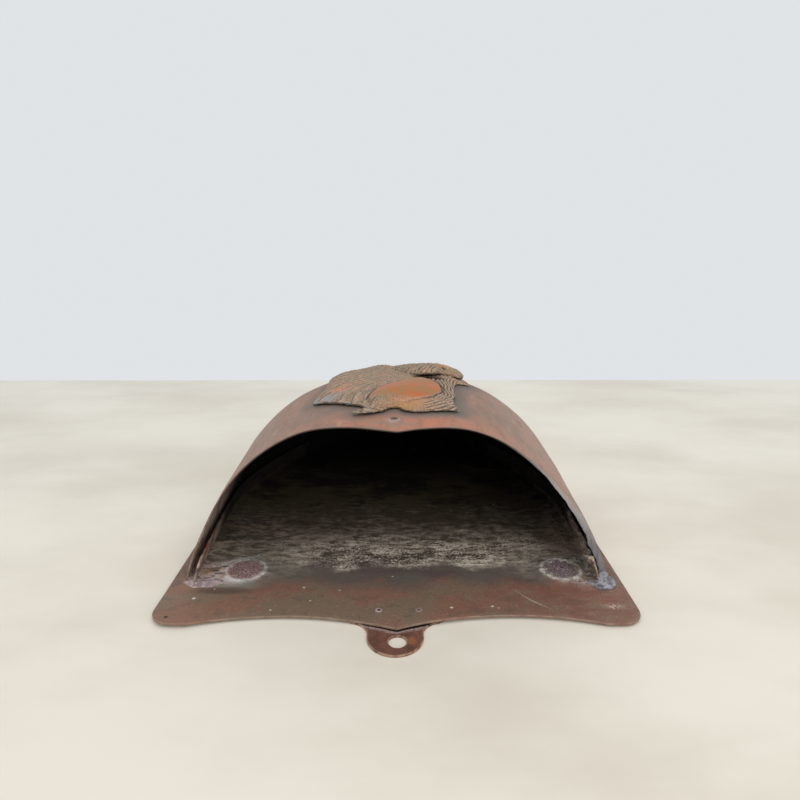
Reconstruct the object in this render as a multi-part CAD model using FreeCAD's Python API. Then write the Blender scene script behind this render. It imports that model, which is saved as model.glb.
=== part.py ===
import FreeCAD, Part
import math
import os

from FreeCAD import Vector

# A copper wall pocket for letters, lying on its back.
# X runs across the box, -Y is up the wall when it hangs, and +Z points out of the wall.
# The origin is the middle of the footprint, at the level of the rearmost metal.
# All sizes are in millimetres.

# Sheet metal
SHEET = 1.0                      # back plate, pocket shell and hanging tab
ANGLE_SHEET = 0.8                # seam angles inside the pocket

# Back plate
HALF_WIDTH = 102.2
LOWER_END = 147.0                # y of the plate's lower end
TOP_POINT = -132.4               # y of the point in the middle of the top edge
TOP_HOLLOW = (49.5, -123.6)      # deepest place of the hollow on each side of the point
TOP_SHOULDER = (86.0, -129.0)    # where the hollow meets the corner lobe
CORNER_RADIUS = 9.5

# Pocket shell, outer surface
BELLY_Y = -20.0                  # widest and deepest section
BELLY_HALF_WIDTH = 98.4
BELLY_DEPTH = 76.8
MOUTH_Y = -99.4
MOUTH_HALF_WIDTH = 95.6
MOUTH_DEPTH = 74.6
POCKET_END = 138.6
SECTION_POWER_X = 2.78           # section curve: (x / a)^px + (z / b)^pz = 1
SECTION_POWER_Z = 1.28
END_POWER = 1.4                  # how the sections shrink towards the closed end
MOUTH_SWAY = -3.0                # sideways bend of the shoulders at the mouth, fading to the belly
MOUTH_EDGE = ((0.0, -105.4), (22.0, -97.8), (42.0, -94.0), (66.0, -96.2), (98.0, -98.6))
DRAIN_HOLE = (-1.2, -90.8, 1.5)  # small empty rivet hole above the relief: x, y, radius

# Hanging tab, lapped behind the plate a little left of the middle; its hole is off its centre
TAB_X = -0.6
TAB_END = -147.0
TAB_HALF_WIDTH = 11.3
TAB_SHOULDER = (20.5, -127.6)
TAB_LAP_END = -108.0
HANG_HOLE = (0.3, -138.8)
HANG_HOLE_RADIUS = 3.6
TAB_RIVET_PLACES = ((-7.6, -120.0), (9.2, -120.0))
TAB_RIVET_RADIUS = 1.0
TAB_RIVET_HEAD = (1.5, 0.35)     # radius, height

# Seam angles, solder and the four large rivets
WALL_GAP = 2.8                   # between the shell's inner face and the upstand
UPSTAND_HEIGHT = 12.0
FOOT_WIDTH = 9.0
ANGLE_Y = (-89.0, 60.0)
RIVET_INSET = 22.6               # rivet centre inside the shell's outer face
RIVET_ROWS = ((3.1, -90.0), (0.0, 44.0))  # sideways shift and y of each pair
RIVET_HEAD_RADIUS = 8.45
RIVET_HEAD_HEIGHT = 1.2
RIVET_SHANK_RADIUS = 2.5
EAR_RADIUS = 11.0
BURR_RADIUS = 6.5
SOLDER_HEIGHT = 2.0
SOLDER_BLOB = (7.0, 5.5, 1.7)    # half sizes of the blob at each foot of the mouth
HOLE_CLEARANCE = 0.05

# Eagle relief, riveted to the front of the shell
RELIEF_BACK_GAP = 0.15
WING_HEIGHT = 3.6
SHOULDER_HEIGHT = 5.0
BREAST_HEIGHT = 5.6
HEAD_HEIGHT = 6.8
MANTLE_HEIGHT = 3.6
CLAW_HEIGHT = 3.2
PIN_PLACES = ((0.0, -62.0), (18.0, -14.0))
PIN_RADIUS = 1.25
PIN_HEAD = (2.6, 1.0)            # radius, height
PIN_DEPTH = 2.0                  # how far a pin reaches into the relief

PLATE_BACK = SHEET
PLATE_FRONT = 2.0 * SHEET
BIG = 400.0


def pocket_scale(y, grow):
    """Half width and depth of the pocket's section at y, with the skin moved out by grow."""
    if y <= BELLY_Y:
        back = ((BELLY_Y - y) / (BELLY_Y - MOUTH_Y)) ** 2
        half_width = BELLY_HALF_WIDTH - (BELLY_HALF_WIDTH - MOUTH_HALF_WIDTH) * back
        depth = BELLY_DEPTH - (BELLY_DEPTH - MOUTH_DEPTH) * back
        return half_width + grow, depth + grow
    u = (y - BELLY_Y) / (POCKET_END + grow - BELLY_Y)
    shrink = (1.0 - u ** END_POWER) ** (1.0 / END_POWER)
    return (BELLY_HALF_WIDTH + grow) * shrink, (BELLY_DEPTH + grow) * shrink


def sway(reach, y):
    """Sideways shift at y of a skin point at that share of the half width."""
    near_mouth = max(0.0, (BELLY_Y - y) / (BELLY_Y - MOUTH_Y)) ** 2
    shoulder = 16.0 * reach ** 2 * (1.0 - reach) ** 2
    return MOUTH_SWAY * near_mouth * shoulder


def section_wire(y, grow):
    """Closed section of the pocket at y: the bent skin over a straight line on the plate."""
    half_width, depth = pocket_scale(y, grow)
    steps = 28
    points = []
    for i in range(steps + 1):
        t = math.pi * (i / steps - 0.5)
        reach = abs(math.sin(t)) ** (2.0 / SECTION_POWER_X)
        x = math.copysign(reach, t) * half_width + sway(reach, y)
        z = abs(math.cos(t)) ** (2.0 / SECTION_POWER_Z) * depth
        if i in (0, steps):
            z = 0.0
        points.append(Vector(x, y, PLATE_FRONT + z))
    skin = Part.BSplineCurve()
    skin.interpolate(points)
    base = Part.LineSegment(points[-1], points[0])
    return Part.Wire([skin.toShape(), base.toShape()])


def pocket_body(grow):
    """Solid inside the pocket's outer surface moved out by grow, open end included."""
    front = MOUTH_Y - 12.0
    front_steps = 9
    end_steps = 12
    stations = [front + (BELLY_Y - front) * i / front_steps for i in range(front_steps + 1)]
    for i in range(1, end_steps):
        angle = math.pi / 2.0 * i / end_steps
        u = math.sin(angle) ** (2.0 / END_POWER)
        stations.append(BELLY_Y + (POCKET_END + grow - BELLY_Y) * u)
    profiles = [section_wire(y, grow) for y in stations]
    profiles.append(Part.Vertex(Vector(0.0, POCKET_END + grow, PLATE_FRONT)))
    return Part.makeLoft(profiles, True, False)


def box(x0, x1, y0, y1, z0, z1):
    return Part.makeBox(x1 - x0, y1 - y0, z1 - z0, Vector(x0, y0, z0))


def disc(x, y, radius, z0, z1):
    return Part.makeCylinder(radius, z1 - z0, Vector(x, y, z0))


def prism(points, z0, z1):
    """Upright prism over a smooth closed outline."""
    curve = Part.BSplineCurve()
    curve.interpolate([Vector(x, y, z0) for x, y in points], PeriodicFlag=True)
    return Part.Face(Part.Wire([curve.toShape()])).extrude(Vector(0, 0, z1 - z0))


def mirrored(shape):
    return shape.mirror(Vector(0, 0, 0), Vector(1, 0, 0))


def rivet_places():
    """Centres of the four large rivets, a fixed inset inside the shell."""
    places = []
    for shift, y in RIVET_ROWS:
        x = pocket_scale(y, 0.0)[0] - RIVET_INSET
        places += [(shift - x, y), (shift + x, y)]
    return places


def plate_outline():
    """Top edge with a point between two hollows, straight sides and a tapering lower end."""
    x_hollow, y_hollow = TOP_HOLLOW
    x_shoulder, y_shoulder = TOP_SHOULDER
    y_corner = y_shoulder + CORNER_RADIUS
    right = []
    right.append(Part.Arc(Vector(0, TOP_POINT, 0), Vector(x_hollow, y_hollow, 0),
                          Vector(x_shoulder, y_shoulder, 0)).toShape())
    knee = Vector(HALF_WIDTH - CORNER_RADIUS, y_shoulder, 0)
    right.append(Part.makeLine(Vector(x_shoulder, y_shoulder, 0), knee))
    turn = CORNER_RADIUS * (1.0 - math.sqrt(0.5))
    right.append(Part.Arc(knee, Vector(HALF_WIDTH - turn, y_shoulder + turn, 0),
                          Vector(HALF_WIDTH, y_corner, 0)).toShape())
    right.append(Part.makeLine(Vector(HALF_WIDTH, y_corner, 0), Vector(HALF_WIDTH, BELLY_Y, 0)))
    lower = []
    steps = 16
    for i in range(-steps, steps + 1):
        angle = math.pi / 2.0 * i / steps
        y = math.cos(angle) ** (2.0 / END_POWER) * (LOWER_END - BELLY_Y)
        x = math.copysign(abs(math.sin(angle)) ** (2.0 / END_POWER), -i) * HALF_WIDTH
        lower.append(Vector(x, BELLY_Y + max(y, 0.0), 0))
    lower[0].y = BELLY_Y
    lower[-1].y = BELLY_Y
    curve = Part.BSplineCurve()
    curve.interpolate(lower)
    left = [mirrored(edge) for edge in right]
    return Part.Wire(Part.sortEdges(right + [curve.toShape()] + left)[0])


def back_plate():
    plate = Part.Face(plate_outline()).extrude(Vector(0, 0, SHEET))
    plate.translate(Vector(0, 0, PLATE_BACK))
    for x, y in rivet_places():
        plate = plate.cut(disc(x, y, RIVET_SHANK_RADIUS + HOLE_CLEARANCE, 0, PLATE_FRONT + 1))
    for x, y in TAB_RIVET_PLACES:
        plate = plate.cut(disc(x, y, TAB_RIVET_RADIUS + HOLE_CLEARANCE, 0, PLATE_FRONT + 1))
    return plate


def hanging_tab():
    """Round-ended strap with flared shoulders, lapped behind the plate's top edge."""
    x_shoulder, y_shoulder = TAB_SHOULDER
    y_round = TAB_END + TAB_HALF_WIDTH
    neck = Vector(TAB_HALF_WIDTH, y_round + 2.4, 0)
    right = [
        Part.makeLine(Vector(TAB_HALF_WIDTH, y_round, 0), neck),
        Part.Arc(neck, Vector(TAB_HALF_WIDTH + 2.2, y_round + 5.6, 0),
                 Vector(x_shoulder, y_shoulder, 0)).toShape(),
        Part.makeLine(Vector(x_shoulder, y_shoulder, 0), Vector(x_shoulder, TAB_LAP_END, 0)),
    ]
    left = [mirrored(edge) for edge in right]
    end = Part.Arc(Vector(-TAB_HALF_WIDTH, y_round, 0), Vector(0, TAB_END, 0),
                   Vector(TAB_HALF_WIDTH, y_round, 0)).toShape()
    lap = Part.makeLine(Vector(x_shoulder, TAB_LAP_END, 0), Vector(-x_shoulder, TAB_LAP_END, 0))
    outline = Part.Wire(Part.sortEdges(right + left + [end, lap])[0])
    tab = Part.Face(outline).extrude(Vector(0, 0, SHEET))
    tab.translate(Vector(TAB_X, 0, 0))
    tab = tab.cut(disc(*HANG_HOLE, HANG_HOLE_RADIUS, -1, SHEET + 1))
    for x, y in TAB_RIVET_PLACES:
        tab = tab.cut(disc(x, y, TAB_RIVET_RADIUS + HOLE_CLEARANCE, -1, SHEET + 1))
    return tab


def domed_head(x, y, radius, height, z):
    """Low round head standing on z: a disc whose top is part of a large sphere."""
    crown = 0.5 * height
    sphere_radius = (radius ** 2 + crown ** 2) / (2.0 * crown)
    sphere = Part.makeSphere(sphere_radius, Vector(x, y, z + height - sphere_radius))
    return disc(x, y, radius, z, z + height).common(sphere)


def tab_rivets():
    rivets = []
    radius, height = TAB_RIVET_HEAD
    for x, y in TAB_RIVET_PLACES:
        head = domed_head(x, y, radius, height, PLATE_FRONT)
        rivets.append(head.fuse(disc(x, y, TAB_RIVET_RADIUS, 0, PLATE_FRONT)))
    return Part.makeCompound(rivets)


def mouth_cutter():
    """Everything in front of the scalloped edge of the mouth."""
    half = [Vector(x, y, 0) for x, y in MOUTH_EDGE]
    right = Part.BSplineCurve()
    right.interpolate(half)
    left = mirrored(right.toShape())
    x_end, y_end = MOUTH_EDGE[-1]
    corners = [Vector(x_end, y_end, 0), Vector(BIG, y_end, 0), Vector(BIG, -BIG, 0),
               Vector(-BIG, -BIG, 0), Vector(-BIG, y_end, 0), Vector(-x_end, y_end, 0)]
    lines = [Part.makeLine(a, b) for a, b in zip(corners, corners[1:])]
    outline = Part.Wire(Part.sortEdges([right.toShape(), left] + lines)[0])
    return Part.Face(outline).extrude(Vector(0, 0, BIG))


def pocket_shell():
    shell = pocket_body(0.0).cut(pocket_body(-SHEET))
    shell = shell.cut(mouth_cutter())
    x, y, radius = DRAIN_HOLE
    shell = shell.cut(disc(x, y, radius, PLATE_FRONT + SHEET, BIG))
    for x, y in PIN_PLACES:
        shell = shell.cut(disc(x, y, PIN_RADIUS + HOLE_CLEARANCE, PLATE_FRONT + SHEET, BIG))
    return shell


def side_box(side, y0, y1, z0, z1):
    """Everything between those levels on the right (side 1) or the left (side -1)."""
    return box(0, BIG, y0, y1, z0, z1) if side > 0 else box(-BIG, 0, y0, y1, z0, z1)


def seam_angle(side):
    """L-section strip along the inside of one wall, with an ear under each rivet."""
    outer_grow = -SHEET - WALL_GAP
    hull = pocket_body(outer_grow)
    y0, y1 = ANGLE_Y
    top = PLATE_FRONT + ANGLE_SHEET
    upstand = hull.cut(pocket_body(outer_grow - ANGLE_SHEET))
    upstand = upstand.common(side_box(side, y0, y1, 0, PLATE_FRONT + UPSTAND_HEIGHT))
    foot = side_box(side, y0, y1, PLATE_FRONT, top).cut(pocket_body(outer_grow - FOOT_WIDTH))
    places = [(x, y) for x, y in rivet_places() if x * side > 0]
    for x, y in places:
        wall_x = x + side * RIVET_INSET
        foot = foot.fuse(disc(x, y, EAR_RADIUS, PLATE_FRONT, top))
        foot = foot.fuse(box(min(x, wall_x), max(x, wall_x), y, y + EAR_RADIUS, PLATE_FRONT, top))
    angle = upstand.fuse(foot.common(hull))
    for x, y in places:
        angle = angle.cut(disc(x, y, RIVET_SHANK_RADIUS + HOLE_CLEARANCE, 0, top + 1))
    return angle.removeSplitter()


def seam_solder(side, shell, angle):
    """Solder run into the channel behind the upstand, with a blob at the foot of the mouth."""
    channel = pocket_body(-SHEET).cut(pocket_body(-SHEET - WALL_GAP))
    y_foot = MOUTH_EDGE[-1][1]
    seam = channel.common(side_box(side, y_foot, ANGLE_Y[1], 0, PLATE_FRONT + SOLDER_HEIGHT))
    half_x, half_y, half_z = SOLDER_BLOB
    blob = Part.makeSphere(1.0)
    blob = blob.transformGeometry(FreeCAD.Matrix(half_x, 0, 0, 0, 0, half_y, 0, 0, 0, 0, half_z, 0))
    blob.translate(Vector(side * (MOUTH_HALF_WIDTH - 4.5), y_foot - 0.5, PLATE_FRONT))
    blob = blob.common(side_box(side, -BIG, BIG, PLATE_FRONT, BIG))
    solder = seam.fuse(blob).cut(shell).cut(angle)
    return max(solder.Solids, key=lambda solid: solid.Volume)


def plate_rivets():
    """Four large flat-headed rivets, from the angle's ears through to the back."""
    rivets = []
    ear_top = PLATE_FRONT + ANGLE_SHEET
    for x, y in rivet_places():
        head = domed_head(x, y, RIVET_HEAD_RADIUS, RIVET_HEAD_HEIGHT, ear_top)
        rivets.append(head.fuse(disc(x, y, RIVET_SHANK_RADIUS, 0, ear_top)))
    return Part.makeCompound(rivets)


def rivet_burrs():
    """A washer on each large rivet's tail, behind the plate."""
    burrs = []
    for x, y in rivet_places():
        hole = disc(x, y, RIVET_SHANK_RADIUS + HOLE_CLEARANCE, -1, PLATE_BACK + 1)
        burrs.append(disc(x, y, BURR_RADIUS, 0, PLATE_BACK).cut(hole))
    return Part.makeCompound(burrs)


def relief_layer(outline, height, inner):
    """Part of the casting: the skin's shape raised by height over one smooth outline."""
    return prism(outline, PLATE_FRONT + 10.0, BIG).common(pocket_body(height)).cut(inner)


def eagle_relief():
    """Casting of a perched eagle: wing on the left, breast, head, and neck feathers on the right."""
    inner = pocket_body(RELIEF_BACK_GAP)
    wing = ((-12, -78), (-26, -69), (-40, -57), (-41, -42), (-37, -20), (-30, -5),
            (-20, 1), (-4, 2), (6, -12), (6, -44), (-4, -62))
    shoulder = ((-22, -10), (-14, 2), (-4, 3), (5, -2), (5, -18), (-8, -26), (-18, -22))
    breast = ((-13, -77), (-13, -66), (-2, -48), (11, -38), (20, -48), (19, -64), (8, -74), (-4, -77))
    head = ((2, -28), (3, -10), (12, 1), (24, 1), (32, -6), (35, -20), (27, -26), (14, -28))
    mantle = ((16, -60), (20, -32), (30, -28), (38, -22), (31, -38), (30, -60), (27, -80), (14, -86),
              (4, -80))
    claw = ((-19, -87), (-17, -78), (-6, -74), (2, -78), (-4, -85), (-12, -88))
    relief = relief_layer(wing, WING_HEIGHT, inner)
    for outline, height in ((shoulder, SHOULDER_HEIGHT), (breast, BREAST_HEIGHT), (head, HEAD_HEIGHT),
                            (mantle, MANTLE_HEIGHT), (claw, CLAW_HEIGHT)):
        relief = relief.fuse(relief_layer(outline, height, inner))
    for place in PIN_PLACES:
        relief = relief.cut(relief_pin(place, HOLE_CLEARANCE))
    return relief


def skin_height(x, y, grow):
    """Height of the pocket's surface above the plate's back at x, y."""
    half_width, depth = pocket_scale(y, grow)
    rise = (1.0 - (abs(x) / half_width) ** SECTION_POWER_X) ** (1.0 / SECTION_POWER_Z)
    return PLATE_FRONT + depth * rise


def relief_pin(place, clearance):
    """Shank of one pin, from inside the shell into the casting."""
    x, y = place
    return disc(x, y, PIN_RADIUS + clearance, skin_height(x, y, -SHEET) - PIN_HEAD[1],
                skin_height(x, y, 0.0) + PIN_DEPTH + clearance)


def relief_pins():
    """Pins through the shell, each with its tail peened over on the inside."""
    inside = pocket_body(-SHEET)
    pins = []
    for place in PIN_PLACES:
        x, y = place
        ceiling = skin_height(x, y, -SHEET)
        head = disc(x, y, PIN_HEAD[0], ceiling - PIN_HEAD[1], ceiling + 2.0).common(inside)
        pins.append(head.fuse(relief_pin(place, 0.0)))
    return Part.makeCompound(pins)


def export(name, shape):
    solids = len(shape.Solids)
    print(f"{name}: solids {solids}, valid {shape.isValid()}, volume {shape.Volume / 1000.0:.2f} cm3")
    shape.exportStep(f"parts/{name}.step")


def main():
    os.makedirs("parts", exist_ok=True)
    shell = pocket_shell()
    export("back_plate", back_plate())
    export("hanging_tab", hanging_tab())
    export("tab_rivets", tab_rivets())
    export("pocket_shell", shell)
    for name, side in (("left", -1), ("right", 1)):
        angle = seam_angle(side)
        export("seam_angle_" + name, angle)
        export("seam_solder_" + name, seam_solder(side, shell, angle))
    export("plate_rivets", plate_rivets())
    export("rivet_burrs", rivet_burrs())
    export("eagle_relief", eagle_relief())
    export("relief_pins", relief_pins())


main()
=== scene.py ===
import math

import bmesh
import bpy
import numpy as np
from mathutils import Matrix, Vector, geometry, noise


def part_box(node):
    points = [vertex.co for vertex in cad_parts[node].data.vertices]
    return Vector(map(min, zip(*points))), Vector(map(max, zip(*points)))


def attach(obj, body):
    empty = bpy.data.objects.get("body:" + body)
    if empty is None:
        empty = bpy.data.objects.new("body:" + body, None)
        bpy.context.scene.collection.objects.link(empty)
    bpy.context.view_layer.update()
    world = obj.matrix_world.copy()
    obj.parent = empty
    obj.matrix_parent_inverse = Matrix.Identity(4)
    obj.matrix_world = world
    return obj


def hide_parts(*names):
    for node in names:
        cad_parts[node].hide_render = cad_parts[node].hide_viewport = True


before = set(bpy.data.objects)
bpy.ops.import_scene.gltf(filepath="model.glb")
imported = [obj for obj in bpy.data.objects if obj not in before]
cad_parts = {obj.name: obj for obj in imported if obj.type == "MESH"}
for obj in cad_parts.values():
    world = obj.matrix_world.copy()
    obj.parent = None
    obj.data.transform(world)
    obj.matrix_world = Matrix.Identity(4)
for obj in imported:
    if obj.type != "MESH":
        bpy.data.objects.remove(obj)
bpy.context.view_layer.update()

# Sizes and places are in millimetres until closed_mesh, which turns them into metres.
MM = 0.001
TURN = 2 * math.pi
BODY = "root"

# Camera, as a phone held just above the table, looking down into the mouth
CAMERA_PLACE = (0.0005, -0.3394, 0.15435)
CAMERA_PITCH = 15.465
CAMERA_YAW = -0.22
CAMERA_LENS = 27
TABLE_END = 0.3
SKY_COLOUR = (0.93, 0.965, 1, 1)
SKY_STRENGTH = 0.8
LAMP_COLOUR = (1, 0.98, 0.95)


def corners(node):
    """Lowest and highest corner of a CAD node, in millimetres."""
    low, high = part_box(node)
    return np.array(low) / MM, np.array(high) / MM


PLATE_LOW, PLATE_HIGH = corners("back_plate")
TAB_LOW, TAB_HIGH = corners("hanging_tab")
ANGLE_LOW, ANGLE_HIGH = corners("seam_angle_right")
SHELL_HIGH = corners("pocket_shell")[1]
RIVET_TOP = corners("plate_rivets")[1][2]

PLATE_BACK, PLATE_FRONT = PLATE_LOW[2], PLATE_HIGH[2]
SHEET = PLATE_FRONT - PLATE_BACK

# Pocket: a bent skin whose sections shrink towards the closed end
BELLY_Y = -20
BELLY_HALF_WIDTH = SHELL_HIGH[0]
BELLY_DEPTH = SHELL_HIGH[2] - PLATE_FRONT
POCKET_END = SHELL_HIGH[1]
MOUTH_Y = -99.4
MOUTH_NARROWING = (2.8, 2.2)
MOUTH_SWAY = -3
SECTION_POWER_X = 2.78
SECTION_POWER_Z = 1.28
END_POWER = 1.4
MOUTH_EDGE = ((0, -105.4), (22, -97.8), (42, -94), (66, -96.2), (98, -98.6))
DRAIN_HOLE = (-1.2, -90.8, 1.5)

# Back plate and hanging tab
TOP_HOLLOW = (49.5, -123.6)
TOP_SHOULDER = (86, -129)
CORNER_RADIUS = 9.5
TAB_X = (TAB_LOW[0] + TAB_HIGH[0]) / 2
TAB_HALF_WIDTH = 11.3
TAB_SHOULDER_Y = -127.6
HANG_HOLE = (0.3, -138.8, 3.6)
TAB_RIVET_PLACES = ((-7.6, -120), (9.2, -120))

# Seam angles, solder and large rivets
WALL_GAP = 2.8
ANGLE_SHEET = 0.8
UPSTAND_TOP = ANGLE_HIGH[2]
FOOT_WIDTH = 9
RIVET_HEAD_RADIUS = 8.45
RIVET_SHANK_RADIUS = 2.5
EAR_RADIUS = 11
BURR_RADIUS = 6.5
RIVET_INSET = 22.6
RIVET_ROWS = ((3.1, -90), (0, 44))
PIN_PLACES = ((0, -62), (18, -14))
BEAD_THICKNESS = 2.5             # solder bead inside the right part of the lip

# How fine the meshes are: distance between points, or a count of rows or columns
PLATE_GRID, TAB_GRID, FOOT_GRID, RELIEF_GRID = 2.4, 0.9, 1, 0.46
FINE_BELT_X, FINE_BELT_Y = 1.5, 0.95
SKIN_COLUMNS, SKIN_FRONT_ROWS, SKIN_END_ROWS = 190, 56, 84
HEAD_RINGS, HEAD_SIDES = 120, 104
UPSTAND_LEVELS, UPSTAND_ROWS = 13, 190
PIN_SIDES, BURR_SIDES, MOUND_SIDES, RIVET_SIDES = 40, 48, 64, 130
TRIANGLE_HEIGHT = 0.866          # of a triangle whose sides are all 1


# Shape tools


def ramp(value, low, high):
    """0 at low, 1 at high, smooth between them."""
    share = np.clip((value - low) / (high - low), 0, 1)
    return share * share * (3 - 2 * share)


def bump(distance, width):
    """1 at distance 0, falling off in a bell of that width."""
    return np.exp(-(distance / width) ** 2)


def spot(x, y, middle_x, middle_y, half_x, half_y):
    """A bell over an oval place."""
    return bump(np.hypot((x - middle_x) / half_x, (y - middle_y) / half_y), 1)


def wobble(points, size, shift=0, octaves=2):
    """Smooth noise, about -1 to 1, whose lumps are about that size."""
    scaled = np.asarray(points, float) / size + shift
    return np.array([noise.fractal(Vector(p), 1, 2, octaves) for p in scaled])


def flat_points(x, y):
    """Points x, y at level 0."""
    return np.stack([x, y, 0 * x], 1)


def curve_through(points, count):
    """count points on a smooth curve through the rows, all columns alike."""
    rows = np.asarray(points, float)
    n = len(rows)
    system = np.eye(n)
    pull = np.zeros_like(rows)
    for i in range(1, n - 1):
        system[i, i - 1:i + 2] = 1, 4, 1
        pull[i] = 6 * (rows[i + 1] - 2 * rows[i] + rows[i - 1])
    bend = np.linalg.solve(system, pull)
    place = np.linspace(0, n - 1, count)
    i = np.minimum(place.astype(int), n - 2)
    t = (place - i)[:, None]
    s = 1 - t
    return (s * rows[i] + t * rows[i + 1] + ((s ** 3 - s) * bend[i] + (t ** 3 - t) * bend[i + 1]) / 6)


def closed_curve(points, count):
    """count points on a smooth closed curve through the points."""
    rows = np.asarray(points, float)
    n = len(rows)
    padded = np.concatenate([rows[-4:], rows, rows[:5]])
    steps = 40
    fine = curve_through(padded, (len(padded) - 1) * steps + 1)
    return evenly(fine[4 * steps:(4 + n) * steps + 1], count + 1)[:-1]


def way_along(path):
    """Distance along the path of each of its points."""
    return np.concatenate([[0], np.cumsum(np.linalg.norm(np.diff(path, axis=0), axis=1))])


def evenly(path, count):
    """count points evenly spaced along a path."""
    path = np.asarray(path, float)
    way = way_along(path)
    wanted = np.linspace(0, way[-1], count)
    return np.stack([np.interp(wanted, way, column) for column in path.T], 1)


def with_mirror(right):
    """Closed outline from its right half, whose first and last points lie on the middle line."""
    return np.concatenate([right, right[-2:0:-1] * (-1, 1)])


def arc(start, middle, end, count):
    """Points on the circle arc through three points in the plane."""
    (ax, ay), (bx, by), (cx, cy) = start, middle, end
    twice = 2 * (ax * (by - cy) + bx * (cy - ay) + cx * (ay - by))
    a, b, c = ax * ax + ay * ay, bx * bx + by * by, cx * cx + cy * cy
    x = (a * (by - cy) + b * (cy - ay) + c * (ay - by)) / twice
    y = (a * (cx - bx) + b * (ax - cx) + c * (bx - ax)) / twice
    radius = math.hypot(ax - x, ay - y)
    first = math.atan2(ay - y, ax - x)
    turn = (math.atan2(cy - y, cx - x) - first + math.pi) % (TURN) - math.pi
    angles = first + turn * np.linspace(0, 1, count)
    return np.stack([x + radius * np.cos(angles), y + radius * np.sin(angles)], 1)


def circle(x, y, radius, count):
    angles = np.linspace(0, TURN, count, endpoint=False)
    return np.stack([x + radius * np.cos(angles), y + radius * np.sin(angles)], 1)


def path_distance(points, path, closed=True):
    """Distance of each point from a path, and whether it is inside the closed path."""
    points = np.asarray(points, float)
    path = np.asarray(path, float)
    ends = np.roll(path, -1, axis=0) if closed else path[1:]
    starts = path if closed else path[:-1]
    nearest = np.full(len(points), 1e9)
    inside = np.zeros(len(points), bool)
    for (ax, ay), (bx, by) in zip(starts, ends):
        dx, dy = bx - ax, by - ay
        px, py = points[:, 0] - ax, points[:, 1] - ay
        share = np.clip((px * dx + py * dy) / (dx * dx + dy * dy + 1e-12), 0, 1)
        nearest = np.minimum(nearest, np.hypot(px - share * dx, py - share * dy))
        if ay != by:
            crosses = (ay > points[:, 1]) != (by > points[:, 1])
            inside ^= crosses & (px < dx * py / dy)
    return nearest, inside


def depth_inside(points, loop):
    """Distance inside the loop, negative outside it."""
    distance, inside = path_distance(points, loop)
    return np.where(inside, distance, -distance)


def inset(loop, amount):
    """The loop moved inwards by amount."""
    along = np.roll(loop, -1, axis=0) - np.roll(loop, 1, axis=0)
    side = np.stack([-along[:, 1], along[:, 0]], 1)
    side /= np.linalg.norm(side, axis=1)[:, None] + 1e-12
    x, y = loop.T
    anticlockwise = np.sum(x * np.roll(y, -1) - np.roll(x, -1) * y) > 0
    return loop + side * (amount if anticlockwise else -amount)


def inner_points(loops, spacing):
    """A triangular grid of points inside the first loop and outside the others."""
    low, high = loops[0].min(0), loops[0].max(0)
    rows = np.arange(low[1], high[1], spacing * TRIANGLE_HEIGHT)
    points = []
    for i, y in enumerate(rows):
        x = np.arange(low[0] + (i % 2) * spacing / 2, high[0], spacing)
        points.append(np.stack([x, np.full(len(x), y)], 1))
    points = np.concatenate(points)
    clear = spacing * 0.6
    keep = depth_inside(points, loops[0]) > clear
    for hole in loops[1:]:
        keep &= depth_inside(points, hole) < -clear
    return points[keep]


def fill(loops, points):
    """All points in one array, loops first, and the triangles that fill the loops."""
    edges = []
    start = 0
    for loop in loops:
        count = len(loop)
        edges += [(start + i, start + (i + 1) % count) for i in range(count)]
        start += count
    flat = np.concatenate(list(loops) + [points])
    result = geometry.delaunay_2d_cdt([Vector(p) for p in flat], edges, [], 1, 1e-7)
    flat = np.array([tuple(v) for v in result[0]])
    triangles = np.array([tuple(f) for f in result[2]])
    centres = flat[triangles].mean(1)
    keep = np.ones(len(triangles), bool)
    for hole in loops[1:]:
        keep &= depth_inside(centres, hole) < 0
    return flat, [tuple(f) for f in triangles[keep].tolist()]


def both_sides(triangles, count):
    """The triangles, and the same ones turned over on the next count points."""
    return triangles + [(count + c, count + b, count + a) for a, b, c in triangles]


def grid_faces(rows, columns, wrap=False):
    """Quads of a grid of points kept row by row; wrap joins the last column to the first."""
    faces = []
    for i in range(rows - 1):
        for j in range(columns if wrap else columns - 1):
            k = (j + 1) % columns
            a, b = i * columns, (i + 1) * columns
            faces.append((a + j, a + k, b + k, b + j))
    return faces


def sheet(loops, spacing, z_low, z_high, edge, lift=None, crust=None, extra=None):
    """Closed sheet over the loops with rounded edges; lift bends it, crust thickens its front."""
    insets = [inset(loop, edge if i == 0 else -edge) for i, loop in enumerate(loops)]
    inner = inner_points(loops, spacing)
    if extra is not None:
        inner = np.concatenate([inner, extra])
    flat, triangles = fill(insets, inner)
    count = len(flat)
    points = [np.column_stack([flat, np.full(count, z_high)]),
              np.column_stack([flat, np.full(count, z_low)])]
    faces = both_sides(triangles, count)
    turns = np.linspace(0, math.pi / 2, 4)[1:]
    start, total = 0, 2 * count
    for loop, inner_loop in zip(loops, insets):
        n = len(loop)
        outward = (loop - inner_loop) / edge
        rows = [np.arange(start, start + n)]
        for level, angles, sign in ((z_high, turns, -1), (z_low, turns[::-1], 1)):
            for angle in angles:
                ring = inner_loop + outward * edge * math.sin(angle)
                z = level + sign * edge * (1 - math.cos(angle))
                points.append(np.column_stack([ring, np.full(n, z)]))
                rows.append(np.arange(total, total + n))
                total += n
        rows.append(np.arange(count + start, count + start + n))
        for upper, lower in zip(rows, rows[1:]):
            faces += [(upper[i], upper[(i + 1) % n], lower[(i + 1) % n], lower[i]) for i in range(n)]
        start += n
    points = np.concatenate(points)
    front = points[:, 2] > (z_low + z_high) / 2
    if lift is not None:
        points[:, 2] += lift(points[:, 0], points[:, 1])
    if crust is not None:
        points[:, 2] += np.where(front, crust(points[:, 0], points[:, 1]), 0)
    return points, faces


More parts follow.
